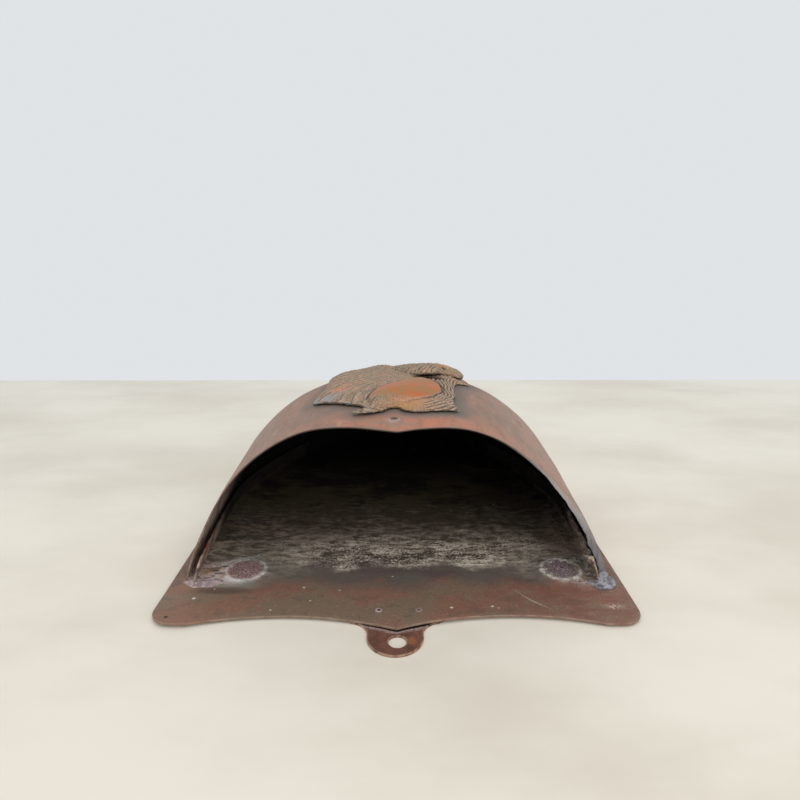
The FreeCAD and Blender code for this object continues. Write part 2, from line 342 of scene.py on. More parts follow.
def lathe(profile, x, y, sectors):
    """Closed round body from a profile of (radius, z) rows, from the top middle to the bottom middle."""
    profile = np.asarray(profile, float)
    angles = np.linspace(0, TURN, sectors, endpoint=False)
    radius = profile[:, 0][:, None]
    points = np.stack([x + radius * np.cos(angles), y + radius * np.sin(angles),
                       np.repeat(profile[:, 1][:, None], sectors, 1)], -1).reshape(-1, 3)
    return points, grid_faces(len(profile), sectors, wrap=True)


def joined(parts):
    """Several (points, faces) pairs as one."""
    points, faces, start = [], [], 0
    for part_points, part_faces in parts:
        points.append(np.asarray(part_points, float))
        faces += [tuple(start + i for i in face) for face in part_faces]
        start += len(part_points)
    return np.concatenate(points), faces


def add_object(name, data):
    made = bpy.data.objects.new(name, data)
    bpy.context.scene.collection.objects.link(made)
    return made


def closed_mesh(name, shape, marks=None):
    """Mesh in metres with its doubled points merged and its faces turned outwards."""
    points, faces = shape
    mesh = bpy.data.meshes.new(name)
    mesh.from_pydata((np.asarray(points) * MM).tolist(), [], faces)
    for mark, values in (marks or {}).items():
        layer = mesh.attributes.new(mark, "FLOAT", "POINT")
        layer.data.foreach_set("value", np.asarray(values, np.float32))
    working = bmesh.new()
    working.from_mesh(mesh)
    bmesh.ops.remove_doubles(working, verts=working.verts, dist=1e-6)
    bmesh.ops.recalc_face_normals(working, faces=working.faces)
    working.to_mesh(mesh)
    working.free()
    return mesh


def add_piece(name, shape, material, node, marks=None):
    """A smooth closed mesh that stands for a CAD node; marks are values kept on its points."""
    mesh = closed_mesh(name, shape, marks)
    mesh.shade_smooth()
    mesh.materials.append(material)
    piece = add_object(name, mesh)
    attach(piece, BODY)
    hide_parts(node)
    return piece


def drill(piece, x, y, radius, z_low, z_high):
    """Cuts a round upright hole through a piece."""
    profile = [(0, z_high), (radius, z_high), (radius, z_low), (0, z_low)]
    cutter = add_object("cutter", closed_mesh("cutter", lathe(profile, x, y, PIN_SIDES)))
    hole = piece.modifiers.new("hole", "BOOLEAN")
    hole.object = cutter
    bpy.context.view_layer.update()
    cut = bpy.data.meshes.new_from_object(piece.evaluated_get(bpy.context.evaluated_depsgraph_get()))
    piece.modifiers.clear()
    piece.data = cut
    bpy.data.objects.remove(cutter)


# The pocket's formula


def pocket_scale(y, grow=0):
    """Half width and depth of the pocket's section at y, with the skin moved out by grow."""
    back = np.clip((BELLY_Y - y) / (BELLY_Y - MOUTH_Y), 0, None) ** 2
    u = np.clip((y - BELLY_Y) / (POCKET_END + grow - BELLY_Y), 0, 1)
    shrink = (1 - u ** END_POWER) ** (1 / END_POWER)
    narrower, shallower = MOUTH_NARROWING
    half_width = (BELLY_HALF_WIDTH - narrower * back + grow) * shrink
    depth = (BELLY_DEPTH - shallower * back + grow) * shrink
    return half_width, depth


def sway(reach, y):
    """Sideways shift at y of a skin point at that share of the half width."""
    near_mouth = np.clip((BELLY_Y - y) / (BELLY_Y - MOUTH_Y), 0, None) ** 2
    return MOUTH_SWAY * near_mouth * 16 * reach ** 2 * (1 - reach) ** 2


def skin_point(turn, y, grow=0):
    """Point of the skin at section angle turn (-90 degrees is the left foot) and at y."""
    half_width, depth = pocket_scale(y, grow)
    reach = np.abs(np.sin(turn)) ** (2 / SECTION_POWER_X)
    x = np.sign(turn) * reach * half_width + sway(reach, y)
    z = PLATE_FRONT + depth * np.abs(np.cos(turn)) ** (2 / SECTION_POWER_Z)
    return np.stack([x, y + 0 * x, z], -1)


def skin_height(x, y, grow=0):
    """Level of the skin over the place x, y."""
    half_width, depth = pocket_scale(y, grow)
    reach = np.clip(np.abs(x) / half_width, 0, 1)
    for _ in range(4):
        reach = np.clip(np.abs(x - sway(reach, y)) / half_width, 0, 1)
    return PLATE_FRONT + depth * (1 - reach ** SECTION_POWER_X) ** (1 / SECTION_POWER_Z)


def skin_normal(x, y):
    """Direction straight out of the skin over the place x, y."""
    step = 0.5
    slope_x = (skin_height(x + step, y) - skin_height(x - step, y)) / (2 * step)
    slope_y = (skin_height(x, y + step) - skin_height(x, y - step)) / (2 * step)
    normal = np.stack([-slope_x, -slope_y, np.ones_like(slope_x)], -1)
    return normal / np.linalg.norm(normal, axis=-1, keepdims=True)


def wall_x(y, z, grow):
    """Half width of the pocket moved out by grow, at y and at level z."""
    half_width, depth = pocket_scale(y, grow)
    rise = np.clip((z - PLATE_FRONT) / depth, 0, 1)
    return half_width * (1 - rise ** SECTION_POWER_Z) ** (1 / SECTION_POWER_X)


def rivet_places():
    places = []
    for shift, y in RIVET_ROWS:
        x = float(pocket_scale(y)[0]) - RIVET_INSET
        places += [(shift - x, y), (shift + x, y)]
    return places


# Procedural materials


def tone(red, green, blue):
    """A colour given as it looks on a screen, 0 to 255, as the shader's linear value."""
    linear = [((c / 255 + 0.055) / 1.055) ** 2.4 if c > 10 else c / 255 / 12.92
              for c in (red, green, blue)]
    return (*linear, 1)


class Value:
    """A number or colour that varies over a surface. Arithmetic on it adds nodes; a | b is the greater."""

    def __init__(self, paint, socket):
        self.paint, self.socket = paint, socket

    def __add__(self, other):
        return self.paint.math("ADD", self, other)

    def __sub__(self, other):
        return self.paint.math("SUBTRACT", self, other)

    def __rsub__(self, other):
        return self.paint.math("SUBTRACT", other, self)

    def __mul__(self, other):
        return self.paint.math("MULTIPLY", self, other)

    def __or__(self, other):
        return self.paint.math("MAXIMUM", self, other)

    def __abs__(self):
        return self.paint.math("ABSOLUTE", self)

    __radd__, __rmul__ = __add__, __mul__

    def step(self, low, high):
        """0 at low and 1 at high, smooth between them; low may be the larger."""
        return self.paint.node("MapRange", {0: self, 1: low, 2: high}, interpolation_type="SMOOTHSTEP")

    def coat(self, amount, over):
        """Lays another colour over this one, by that amount."""
        self.socket = self.paint.blend(amount, self, over).socket


class Paint:
    """A node material whose pattern is laid out by place on the object, in millimetres."""

    def __init__(self, name, metallic=0, specular=0.5):
        self.material = bpy.data.materials.new(name)
        self.material.use_nodes = True
        tree = self.material.node_tree
        self.nodes, self.links = tree.nodes, tree.links
        self.shader = self.nodes["Principled BSDF"]
        self.shader.inputs["Metallic"].default_value = metallic
        self.shader.inputs["Specular IOR Level"].default_value = specular
        metres = self.node("TexCoord", {}, "Object")
        self.place = self.node("VectorMath", {0: metres, "Scale": 1 / MM}, operation="SCALE")
        split = self.node("SeparateXYZ", {0: self.place}).socket.node
        self.x, self.y, self.z = [Value(self, socket) for socket in split.outputs]

    def node(self, kind, inputs, output=0, **settings):
        """One output of a new node that has these settings and inputs."""
        node = self.nodes.new("ShaderNode" + kind)
        for name, setting in settings.items():
            setattr(node, name, setting)
        for name, value in inputs.items():
            self.connect(value, node.inputs[name])
        return Value(self, node.outputs[output])

    def connect(self, value, socket):
        if isinstance(value, Value):
            self.links.new(value.socket, socket)
        else:
            socket.default_value = value

    def math(self, operation, *values):
        return self.node("Math", dict(enumerate(values)), operation=operation)

    def mapped(self, size, stretch, shift):
        """Place on the object in lumps of that size, longer where stretch is over 1."""
        scale = [1 / (size * s) for s in stretch]
        return self.node("Mapping", {"Vector": self.place, "Location": shift, "Scale": scale})

    def noise(self, size, stretch=(1, 1, 1), detail=4, shift=0, rough=0.55):
        """Cloudy value from 0 to 1 with lumps of that size."""
        place = self.mapped(size, stretch, (shift, shift * 1.7, shift * 0.6))
        settings = {"Vector": place, "Scale": 1, "Detail": detail, "Roughness": rough}
        return self.node("TexNoise", settings, "Fac")

    def specks(self, size, share, shift=0):
        """Scattered small spots; share is how much of each cell they may fill."""
        place = self.mapped(size, (1, 1, 1), (shift, shift, shift))
        cells = self.node("TexVoronoi", {"Vector": place, "Scale": 1}, "Distance")
        return cells.step(share, share * 0.5)

    def mark(self, name):
        """The value of that name kept on the piece's points."""
        return self.node("Attribute", {}, "Fac", attribute_name=name)

    def away(self, x, y, wide=1, long=1):
        """Distance in plan from a place, shorter where the shape is wide or long."""
        dx, dy = self.math("DIVIDE", self.x - x, wide), self.math("DIVIDE", self.y - y, long)
        return self.math("SQRT", dx * dx + dy * dy)

    def blend(self, amount, under, over):
        """Mix of two colours, each another value or (red, green, blue) as tone takes it."""
        under, over = [tone(*c) if isinstance(c, tuple) else c for c in (under, over)]
        return self.node("Mix", {"Factor": amount, "A": under, "B": over}, "Result", data_type="RGBA")

    def finish(self, colour, roughness, height=None, relief=0.1):
        """Sets the shader; height is a bump of that many millimetres."""
        self.connect(colour, self.shader.inputs["Base Color"])
        self.connect(roughness, self.shader.inputs["Roughness"])
        if height is not None:
            normal = self.node("Bump", {"Strength": 1, "Distance": relief * MM, "Height": height})
            self.connect(normal, self.shader.inputs["Normal"])
        return self.material


def shell_copper():
    """Brown and orange copper outside with painted sheen at the sides and painted shade round the relief,
    near-black painted shade inside but paler low near the mouth, a grey lip that turns blue on the right.
    """
    paint = Paint("shell_copper", metallic=0.25, specular=0.3)
    inside, lip = paint.mark("inside"), paint.mark("lip")
    clouds = paint.noise(20, detail=6)
    patches = paint.noise(9, detail=5, shift=17)
    streaks = paint.noise(4, stretch=(1, 4, 2.5), detail=6, shift=3)
    fine = paint.noise(0.8, detail=5, shift=7)
    # Painted sheen: from 30 mm out, the sides are paler and greyer, as if reflecting the bright room at a
    # grazing angle.
    side = abs(paint.x).step(30, 80)
    colour = paint.blend(clouds.step(0.38, 0.62), (136, 112, 98), (154, 118, 98))
    colour.coat(side * 0.75, (168, 138, 121))
    front = (paint.y + patches * 26).step(-62, -80)
    middle = abs(paint.x - 6).step(44, 10)
    orange = front * (clouds + patches).step(0.9, 1.1) * (0.3 + middle * 0.7)
    colour.coat(front * 0.5, (168, 132, 114))
    colour.coat(orange * 0.62, (198, 118, 84))
    colour.coat(streaks.step(0.48, 0.7) * 0.5, (128, 104, 92))
    colour.coat(streaks.step(0.42, 0.28) * 0.4, (190, 160, 144))
    dark = paint.noise(2.6, detail=6, shift=11).step(0.56, 0.74)
    colour.coat(dark * 0.5, (106, 84, 72))
    colour.coat(fine.step(0.58, 0.8) * 0.4, (206, 178, 160))
    # Painted shade: the outer skin is greyer and darker close round the relief, more so towards the head.
    toward_head = paint.x.step(-30, 10) * 0.25
    relief_shade = paint.mark("relief_shade") * (0.3 + toward_head + patches * 0.6)
    colour.coat(relief_shade, (104, 98, 90))
    hole_x, hole_y, hole_radius = DRAIN_HOLE
    ring = paint.away(hole_x, hole_y - 2).step(4, 2.2)
    colour.coat(ring * fine.step(0.42, 0.62) * 0.7, (196, 176, 168))
    # Painted shade: the drain hole's wall and a thin ring at its edge are near-black.
    bore_shade = paint.away(hole_x, hole_y).step(hole_radius + 0.25, hole_radius - 0.1)
    colour.coat(bore_shade, (14, 12, 11))
    colour.coat(lip.step(1.6, 0.5) * 0.55, (140, 118, 108))
    # Inside: near-black painted shade, as little light reaches the deep pocket.
    inside_clouds = paint.noise(7, stretch=(1, 2, 1), detail=5, shift=5)
    shaded_inside = paint.blend(inside_clouds.step(0.5, 0.75), (11, 10, 9), (40, 35, 31))
    # Painted light: low on the walls near the mouth, a pale streaky brown, lightened to make up for the
    # shade there.
    low = paint.z.step(58, 18) * paint.y.step(-6, -62)
    wall_streaks = paint.noise(2.4, stretch=(1, 1, 5), detail=6, shift=29)
    low_colour = paint.blend(wall_streaks.step(0.38, 0.62), (140, 114, 102), (230, 206, 190))
    shaded_inside.coat(low * 0.9, low_colour)
    right = paint.x.step(40, 76)
    bead = lip.step(5, 2) * right
    bead_streaks = paint.noise(1.6, stretch=(1, 1, 4), detail=6, shift=19)
    bead_colour = paint.blend(bead_streaks.step(0.4, 0.62), (80, 77, 78), (130, 128, 130))
    bluish = paint.z.step(36, 8) * bead_streaks.step(0.34, 0.52) * 0.7
    bead_colour.coat(bluish, (108, 114, 124))
    high = 0.12 + paint.z.step(16, 44)
    edge_light = lip.step(1, 0.3) * high * 0.7
    bead_colour.coat(edge_light, (180, 178, 176))
    shaded_inside.coat(bead, bead_colour)
    outer_band = lip.step(16, 4) * paint.x.step(70, 84) * paint.z.step(50, 30)
    colour.coat(outer_band * 0.65, bead_colour)
    shaded_inside.coat(lip.step(1.2, 0.3) * paint.x.step(40, 10) * 0.6, (86, 74, 68))
    colour.coat(inside, shaded_inside)
    rough = 0.44 + fine * 0.28 + inside * 0.2
    height = fine * 0.6 + streaks - paint.specks(4, 0.16)
    return paint.finish(colour, rough, height, 0.14)


def floor_colours(paint):
    """Colour, roughness and height of everything flat in front of and inside the mouth.

    A brown margin in front, a dark belt, a crust of tan and white streaks, then painted shade, black further
    in.
    """
    clouds = paint.noise(16, stretch=(1.6, 1, 1), detail=5)
    blotches = paint.noise(5, stretch=(1.8, 1, 1), detail=5, shift=31)
    grain = paint.noise(0.9, detail=5, shift=4)
    streaks = paint.noise(2.8, stretch=(2.2, 1, 1), detail=7, shift=9, rough=0.7)
    long_streaks = paint.noise(12, stretch=(2.4, 1, 1), detail=6, shift=14, rough=0.6)
    waver = (paint.noise(16, detail=5, shift=21) - 0.5) * 26
    deep = paint.y + waver

    colour = paint.blend(clouds.step(0.42, 0.6), (126, 106, 88), (136, 100, 82))
    red = (paint.x + clouds * 60).step(40, 100) * blotches.step(0.3, 0.6)
    colour.coat(red * 0.8, (130, 82, 69))
    colour.coat(blotches.step(0.52, 0.68) * 0.55, (104, 90, 78))
    colour.coat(streaks.step(0.56, 0.76) * 0.45, (102, 92, 80))
    colour.coat(grain.step(0.54, 0.76) * 0.5, (170, 146, 128))
    colour.coat(grain.step(0.42, 0.28) * 0.5, (86, 70, 60))

    belt = deep.step(-106, -94) * deep.step(-72, -80)
    belt_colour = paint.blend(long_streaks.step(0.4, 0.65), (100, 94, 88), (94, 76, 82))
    colour.coat(belt * 0.85, belt_colour)

    into = deep.step(-92, -76)
    floor = paint.blend(streaks.step(0.36, 0.68), (72, 62, 54), (152, 136, 118))
    floor.coat(long_streaks.step(0.48, 0.6) * 0.75, (66, 58, 46))
    colour.coat(into, floor)
    crust = deep.step(-88, -80) * deep.step(-44, -74)
    mottle = streaks * 0.5 + grain * 0.5
    crust = crust * (mottle - long_streaks * 0.45).step(0.17, 0.37)
    crust = crust * (0.45 + blotches.step(0.4, 0.56) * 0.55)
    middle = abs(paint.x - 14).step(92, 36)
    colour.coat(crust * (0.3 + middle * 0.7), (234, 220, 202))

    # Painted shade deeper in the pocket: dark streaky brown, then near-black past y 0.
    far_shade = (paint.y + waver * 1.3).step(-65, 5)
    far_shade_colour = paint.blend(long_streaks.step(0.4, 0.62), (24, 21, 12), (78, 68, 48))
    far_shade_colour.coat(streaks.step(0.52, 0.7) * 0.5, (96, 88, 72))
    colour.coat(far_shade * 0.95, far_shade_colour)
    colour.coat(paint.y.step(0, 60), (22, 19, 14))

    beside = paint.away(-66, -84, 1.4).step(30, 10)
    beside = beside | paint.away(72, -84, 1.2).step(24, 10)
    haze = paint.blend(streaks.step(0.34, 0.68), (92, 86, 76), (168, 160, 144))
    colour.coat(beside * deep.step(-104, -90) * 0.5, haze)
    left_crust = paint.away(-82, -92, 21, 10) + clouds * 0.7
    left_crust = left_crust.step(1.6, 0.8)
    tan = paint.blend(blotches.step(0.42, 0.56), (214, 194, 190), (178, 148, 126))
    tan.coat(streaks.step(0.5, 0.4), (124, 108, 98))
    colour.coat(left_crust * mottle.step(0.34, 0.5), tan)
    bank = (paint.away(-79, -98.8, 15, 3) + streaks * 1.2).step(1.6, 0.9)
    colour.coat(bank * mottle.step(0.36, 0.54) * 0.85, (206, 196, 198))
    green = (paint.away(-74, -101, 15, 4) + clouds * 0.5).step(1.4, 0.7)
    colour.coat(green * 0.3, (140, 154, 144))
    inner_crust = paint.away(86, -62, 12, 26) + clouds * 0.7
    inner_crust = inner_crust.step(1.6, 0.8) * mottle.step(0.38, 0.54)
    colour.coat(inner_crust * 0.75, (146, 128, 110))
    right_crust = paint.away(85, -90, 18, 14) + clouds * 0.7
    right_crust = right_crust.step(1.6, 0.8) * mottle.step(0.36, 0.52)
    pale = paint.blend(blotches.step(0.42, 0.58), (196, 188, 182), (150, 136, 120))
    colour.coat(right_crust, pale)
    shade = paint.away(-77, -105.5, 15, 3.2) + blotches * 0.8
    colour.coat(shade.step(1.5, 0.8) * 0.7, (84, 66, 60))
    slant = paint.x * 0.865 + paint.y * 0.5 + 104.9
    across = abs(paint.y * 0.865 - paint.x * 0.5 + 31.7)
    streak = (across + streaks * 3).step(4.2, 1.8) * abs(slant).step(14, 7)
    colour.coat(streak * mottle.step(0.36, 0.54) * 0.85, (196, 194, 188))
    for x, y in rivet_places()[:2]:
        away = paint.away(x, y) + blotches * 1.4
        ring = away.step(8.6, 9.3) * away.step(11.2, 9.9)
        patchy = 0.35 + streaks.step(0.4, 0.6) * 0.65
        broken = grain.step(0.3, 0.5) * patchy
        colour.coat(ring * broken * 0.8, (226, 220, 214))
    rough = 0.42 + grain * 0.3 + into * 0.15
    height = grain * 1.3 + streaks * into * 1.5 + long_streaks * 0.5
    return colour, rough, height, grain


def plate_copper():
    """The floor's colours, with rubbed edges lightened also as painted highlight, pale specks and one long
    scratch.
    """
    paint = Paint("plate_copper", metallic=0.15, specular=0.3)
    colour, rough, height, grain = floor_colours(paint)
    clouds = paint.noise(14, detail=6, shift=23)
    open_air = paint.blend(clouds.step(0.4, 0.6), (128, 102, 86), (108, 84, 72))
    open_air.coat(grain.step(0.5, 0.72) * 0.5, (158, 134, 118))
    colour.coat(paint.mark("outdoors"), open_air)
    # Rubbed edge along the plate's rim, lightened also as painted highlight where the edge catches the
    # light.
    edge_wear_and_light = paint.mark("rim").step(0.7, 0.15) * paint.noise(6, shift=41).step(0.38, 0.62)
    colour.coat(edge_wear_and_light * 0.45, (158, 138, 122))
    dots = paint.specks(15, 0.045, shift=2)
    for x, y, size in ((-88, -111.2, 0.9), (23.2, -118.5, 0.8), (40.6, -117.4, 0.7), (-41.5, -103, 0.7),
                       (-37.3, -113, 0.5), (-53.2, -119.4, 0.5), (-25.3, -105.2, 0.5)):
        dots = dots | paint.away(x, y, 1.2).step(size, 0.4 * size)
    colour.coat(dots * 0.9, (222, 212, 200))
    colour.coat(paint.away(-95.2, -124.6, 1.2).step(1, 0.4), (40, 28, 24))
    rub = paint.away(92.3, -117.4, 2.2).step(2.6, 0.6) * grain.step(0.4, 0.6)
    colour.coat(rub * 0.7, (206, 178, 168))
    arc_line = abs(paint.away(92, -82) - 46)
    scratch = (arc_line.step(0.4, 0.15) * paint.x.step(50, 58) * paint.x.step(66, 60)
               * paint.y.step(-88, -102))
    colour.coat(scratch * grain.step(0.3, 0.5) * 0.8, (196, 172, 158))
    return paint.finish(colour, rough, height, 0.2)


def tab_copper():
    """Reddish brown strap, orange beside the hole and rubbed along the edges, with a painted shadow where it
    goes under the plate; the rubbed edges are lightened also as painted highlight.
    """
    paint = Paint("tab_copper", metallic=0.25, specular=0.35)
    clouds = paint.noise(7, detail=5)
    grain = paint.noise(0.8, detail=5, shift=5)
    colour = paint.blend(clouds.step(0.4, 0.62), (122, 82, 68), (104, 70, 58))
    orange = paint.away(HANG_HOLE[0] + 5.5, HANG_HOLE[1] + 0.5, 0.8).step(3.4, 1)
    colour.coat(orange * 0.6, (172, 110, 68))
    colour.coat(grain.step(0.56, 0.78) * 0.5, (172, 138, 118))
    tuck = paint.mark("tuck")
    scraped = (tuck + clouds * 3).step(4.4, 2.6) * grain.step(0.3, 0.55)
    colour.coat(scraped * 0.75, (178, 158, 150))
    # Painted shadow: near-black under the plate and for the first half millimetre beyond its edge.
    colour.coat(tuck.step(0.9, 0.45), (34, 24, 22))
    scrapes = paint.noise(0.7, stretch=(1, 9, 1), detail=3, shift=8)
    colour.coat(scrapes.step(0.62, 0.75) * 0.4, (178, 146, 128))
    # Rubbed edges and hole rim, lightened also as painted highlight.
    edge_wear_and_light = paint.mark("rim").step(0.8, 0.15) * paint.noise(3, shift=4).step(0.35, 0.6)
    colour.coat(edge_wear_and_light * 0.6, (186, 152, 130))
    return paint.finish(colour, 0.36 + grain * 0.3, grain + clouds, 0.12)


def angle_copper():
    """Folded strip: its foot as crusted as the floor, its upstand smooth left and crusty right, near-black
    further in as painted shade.
    """
    paint = Paint("angle_copper", metallic=0.1, specular=0.3)
    floor, rough, height, grain = floor_colours(paint)
    clouds = paint.noise(5, stretch=(1, 2.2, 1), detail=5, shift=6)
    smooth = paint.blend(clouds.step(0.4, 0.62), (190, 168, 150), (116, 96, 84))
    crusty = paint.blend(clouds.step(0.42, 0.6), (116, 96, 84), (160, 142, 124))
    crusty.coat(grain.step(0.46, 0.62) * 0.7, (196, 186, 174))
    crusty.coat(grain.step(0.42, 0.3) * 0.8, (52, 38, 30))
    colour = paint.blend(paint.x.step(-5, 5), smooth, crusty)
    rust = abs(paint.y + 87).step(3.4, 1) * paint.x.step(0, -1)
    colour.coat(rust * 0.85, (150, 60, 48))
    # Painted shade: near-black further into the pocket.
    colour.coat(paint.y.step(-72, -38) * 0.96, (18, 15, 12))
    colour.coat(paint.z.step(4.6, 3.4), floor)
    return paint.finish(colour, rough, height, 0.25)


def solder_grey():
    """Dull grey solder with a white and blue bloom, pinker on the left, dark further in as painted shade."""
    paint = Paint("solder", metallic=0.1, specular=0.3)
    grain = paint.noise(0.9, detail=5)
    clouds = paint.noise(1.8, stretch=(2, 1, 1), detail=6, shift=3)
    pink = paint.blend(clouds.step(0.34, 0.64), (184, 164, 162), (132, 112, 112))
    pink.coat(paint.x.step(-93, -98) * 0.6, (184, 132, 128))
    blue = paint.blend(clouds.step(0.36, 0.62), (154, 151, 160), (98, 93, 95))
    colour = paint.blend(paint.x.step(-5, 5), pink, blue)
    colour.coat(grain.step(0.52, 0.72) * 0.5, (206, 202, 200))
    colour.coat(grain.step(0.42, 0.3) * 0.5, (84, 72, 70))
    # Painted shade: dark further into the channel and the pocket.
    colour.coat(paint.y.step(-90, -50), (48, 38, 32))
    return paint.finish(colour, 0.5 + grain * 0.3, grain + clouds, 0.3)


def rivet_copper():
    """Purple brown rivet metal with wavy hammered ridges, paler on the ridges as painted highlight,
    near-black further back as painted shade.
    """
    paint = Paint("rivet_copper", metallic=0.2, specular=0.3)
    grain = paint.noise(0.7, detail=4)
    clouds = paint.noise(4.5, detail=4, shift=2)
    ridge = paint.mark("ridge")
    # On the large rivets' heads, the ridge tops are paler and the troughs darker: a painted highlight.
    left = paint.blend(ridge, (76, 48, 46), (186, 154, 150))
    right = paint.blend(ridge, (88, 74, 78), (146, 132, 134))
    colour = paint.blend(paint.x.step(-30, 30), left, right)
    colour.coat(clouds.step(0.45, 0.7) * 0.5, (124, 96, 92))
    glints = paint.noise(0.9, detail=4, shift=12).step(0.52, 0.64)
    colour.coat(glints * 0.5, (216, 190, 186))
    colour.coat(grain.step(0.44, 0.34) * 0.7, (78, 54, 54))
    bloom = paint.mark("rim").step(1.3, 0.2) * grain.step(0.35, 0.6)
    colour.coat(bloom * 0.7, (206, 196, 190))
    # Painted shade: near-black further back, inside the pocket and under the plate.
    colour.coat(paint.y.step(-60, -20), (24, 20, 16))
    return paint.finish(colour, 0.42 + grain * 0.3, grain, 0.1)


def relief_copper():
    """Cast eagle: polished orange breast, grey brown feathers, dark grooves, pale blue bloom at the edge;
    ridge tops paler as painted highlight, and near-black painted shade in the pit under the head, under the
    head and under the casting.
    """
    paint = Paint("relief_copper", metallic=0.2, specular=0.3)
    grain = paint.noise(0.7, detail=5)
    clouds = paint.noise(8, detail=5, shift=4)
    polish, groove, ridge = paint.mark("polish"), paint.mark("groove"), paint.mark("ridge")
    bloom, ochre, pink = paint.mark("bloom"), paint.mark("ochre"), paint.mark("pink")
    colour = paint.blend(clouds.step(0.38, 0.62), (136, 120, 102), (152, 122, 98))
    moss = paint.noise(6, detail=4, shift=13).step(0.48, 0.64)
    colour.coat(moss * 0.65, (134, 126, 96))
    rosy = paint.noise(4.5, detail=4, shift=33).step(0.52, 0.66)
    colour.coat(rosy * 0.5, (182, 142, 124))
    colour.coat(pink * clouds.step(0.3, 0.5) * 0.9, (204, 132, 98))
    colour.coat(ochre * 0.8, (188, 132, 74))
    # Painted highlight: the ridge tops of the feathers, brow and head are lighter.
    colour.coat(ridge * 0.6, (194, 166, 150))
    colour.coat(grain.step(0.53, 0.68) * 0.6, (202, 178, 158))
    colour.coat(grain.step(0.46, 0.32) * 0.75, (88, 72, 58))
    lobe = paint.blend(paint.noise(7, detail=4, shift=9).step(0.42, 0.62), (160, 112, 66), (180, 102, 60))
    lobe.coat(paint.noise(2.2, detail=5, shift=3).step(0.58, 0.72) * 0.5, (136, 92, 62))
    colour.coat(polish, lobe)
    colour.coat(groove.step(0, 0.6) * 0.75, (58, 46, 37))
    # Painted shade: near-black in the deepest grooves, the pit under the head, the head's underside and the
    # casting's underside at its edge.
    colour.coat(groove.step(0.85, 1), (20, 16, 14))
    colour.coat(bloom * clouds.step(0.4, 0.55) * grain.step(0.3, 0.5), (150, 162, 168))
    rough = 0.52 + grain * 0.25 - polish * 0.18
    calm = 1 - polish * 0.8
    return paint.finish(colour, rough, (grain + clouds) * calm, 0.16)


# Pieces


def mouth_edge(x):
    """y of the scalloped edge of the mouth at distance x from the middle."""
    rows = curve_through(MOUTH_EDGE, 400)
    return np.interp(x, rows[:, 0], rows[:, 1])


def even_turns(count):
    """Section angles whose points are evenly spaced round the belly."""
    fine = np.linspace(-math.pi / 2, math.pi / 2, 4001)
    way = way_along(skin_point(fine, BELLY_Y))
    return np.interp(np.linspace(0, way[-1], count), way, fine)


def skin_rows(turns, grow, lip):
    """Rows of the pocket's skin from the mouth to the closed end, and each point's way from the mouth."""
    y_lip = np.full(len(turns), MOUTH_Y)
    for _ in range(8):
        y_lip = mouth_edge(np.abs(skin_point(turns, y_lip, grow)[:, 0]))
    y_start = y_lip + lip
    rows = [y_start + (BELLY_Y - y_start) * i / SKIN_FRONT_ROWS for i in range(SKIN_FRONT_ROWS)]
    for i in range(SKIN_END_ROWS + 1):
        u = math.sin(math.pi / 2 * i / SKIN_END_ROWS) ** (2 / END_POWER)
        rows.append(np.full(len(turns), BELLY_Y + (POCKET_END + grow - BELLY_Y) * u))
    points = np.stack([skin_point(turns, y, grow) for y in rows])
    return points, points[:, :, 1] - y_lip


def add_shell(material):
    """Thin bent skin with a rounded lip, slightly dented, open at the mouth."""
    turns = even_turns(SKIN_COLUMNS)
    lip = SHEET / 2
    outer, outer_way = skin_rows(turns, 0, lip)
    inner, inner_way = skin_rows(turns, -SHEET, lip)
    middle = (outer[0] + inner[0]) / 2
    across = outer[0] - middle
    bends = []
    for angle in np.linspace(0, math.pi, 9)[1:-1]:
        row = middle + across * math.cos(angle)
        row[:, 1] -= lip * math.sin(angle)
        bends.append(row)
    rim = np.stack(bends)
    rows = np.concatenate([outer[::-1], rim, inner])
    way = np.concatenate([outer_way[::-1], np.zeros(rim.shape[:2]), inner_way])
    inside = np.zeros(rows.shape[:2])
    share = np.linspace(0, 1, len(rim) + 2)[1:-1]
    inside[len(outer):len(outer) + len(rim)] = ramp(share, 0.2, 0.5)[:, None]
    inside[len(outer) + len(rim):] = 1
    skin = rows.reshape(-1, 3)
    normal = np.column_stack([skin[:, 0] / BELLY_HALF_WIDTH, np.zeros(len(skin)), skin[:, 2] / BELLY_DEPTH])
    normal /= np.linalg.norm(normal, axis=1)[:, None] + 1e-9
    dents = 0.45 * wobble(skin, 38, 4) + 0.12 * wobble(skin, 11, 9)
    free = ramp(skin[:, 2], PLATE_FRONT, PLATE_FRONT + 16)
    bead = BEAD_THICKNESS * ramp(skin[:, 0], 44, 98) * ramp(way.ravel(), 5, 1.2)
    bead *= inside.ravel() * (1 + 0.3 * wobble(skin, 4, 3))
    skin = skin + normal * (dents * free - bead)[:, None]
    skin[:, 2] = np.maximum(skin[:, 2], PLATE_FRONT)
    count, columns = rows.shape[:2]
    faces = grid_faces(count, columns)
    for i in range(count // 2):
        for edge in (0, columns - 1):
            a, b = i * columns + edge, (i + 1) * columns + edge
            c, d = (count - 1 - i) * columns + edge, (count - 2 - i) * columns + edge
            faces.append((a, b, d, c) if b != d else (a, b, c))
    outline = closed_curve(RELIEF_OUTLINE, 160)
    # Mask for the painted shade round the relief: 1 under it and at its foot, fading out 9 mm away, none on
    # the inside of the pocket.
    relief_shade = ramp(-depth_inside(skin[:, :2], outline), 9, 0.5) * (1 - inside.ravel())
    piece = add_piece("pocket_shell_skin", (skin, faces), material, "pocket_shell",
                      {"inside": inside.ravel(), "lip": way.ravel(), "relief_shade": relief_shade})
    drill(piece, *DRAIN_HOLE, SHELL_HIGH[2] - 12, SHELL_HIGH[2] + 12)


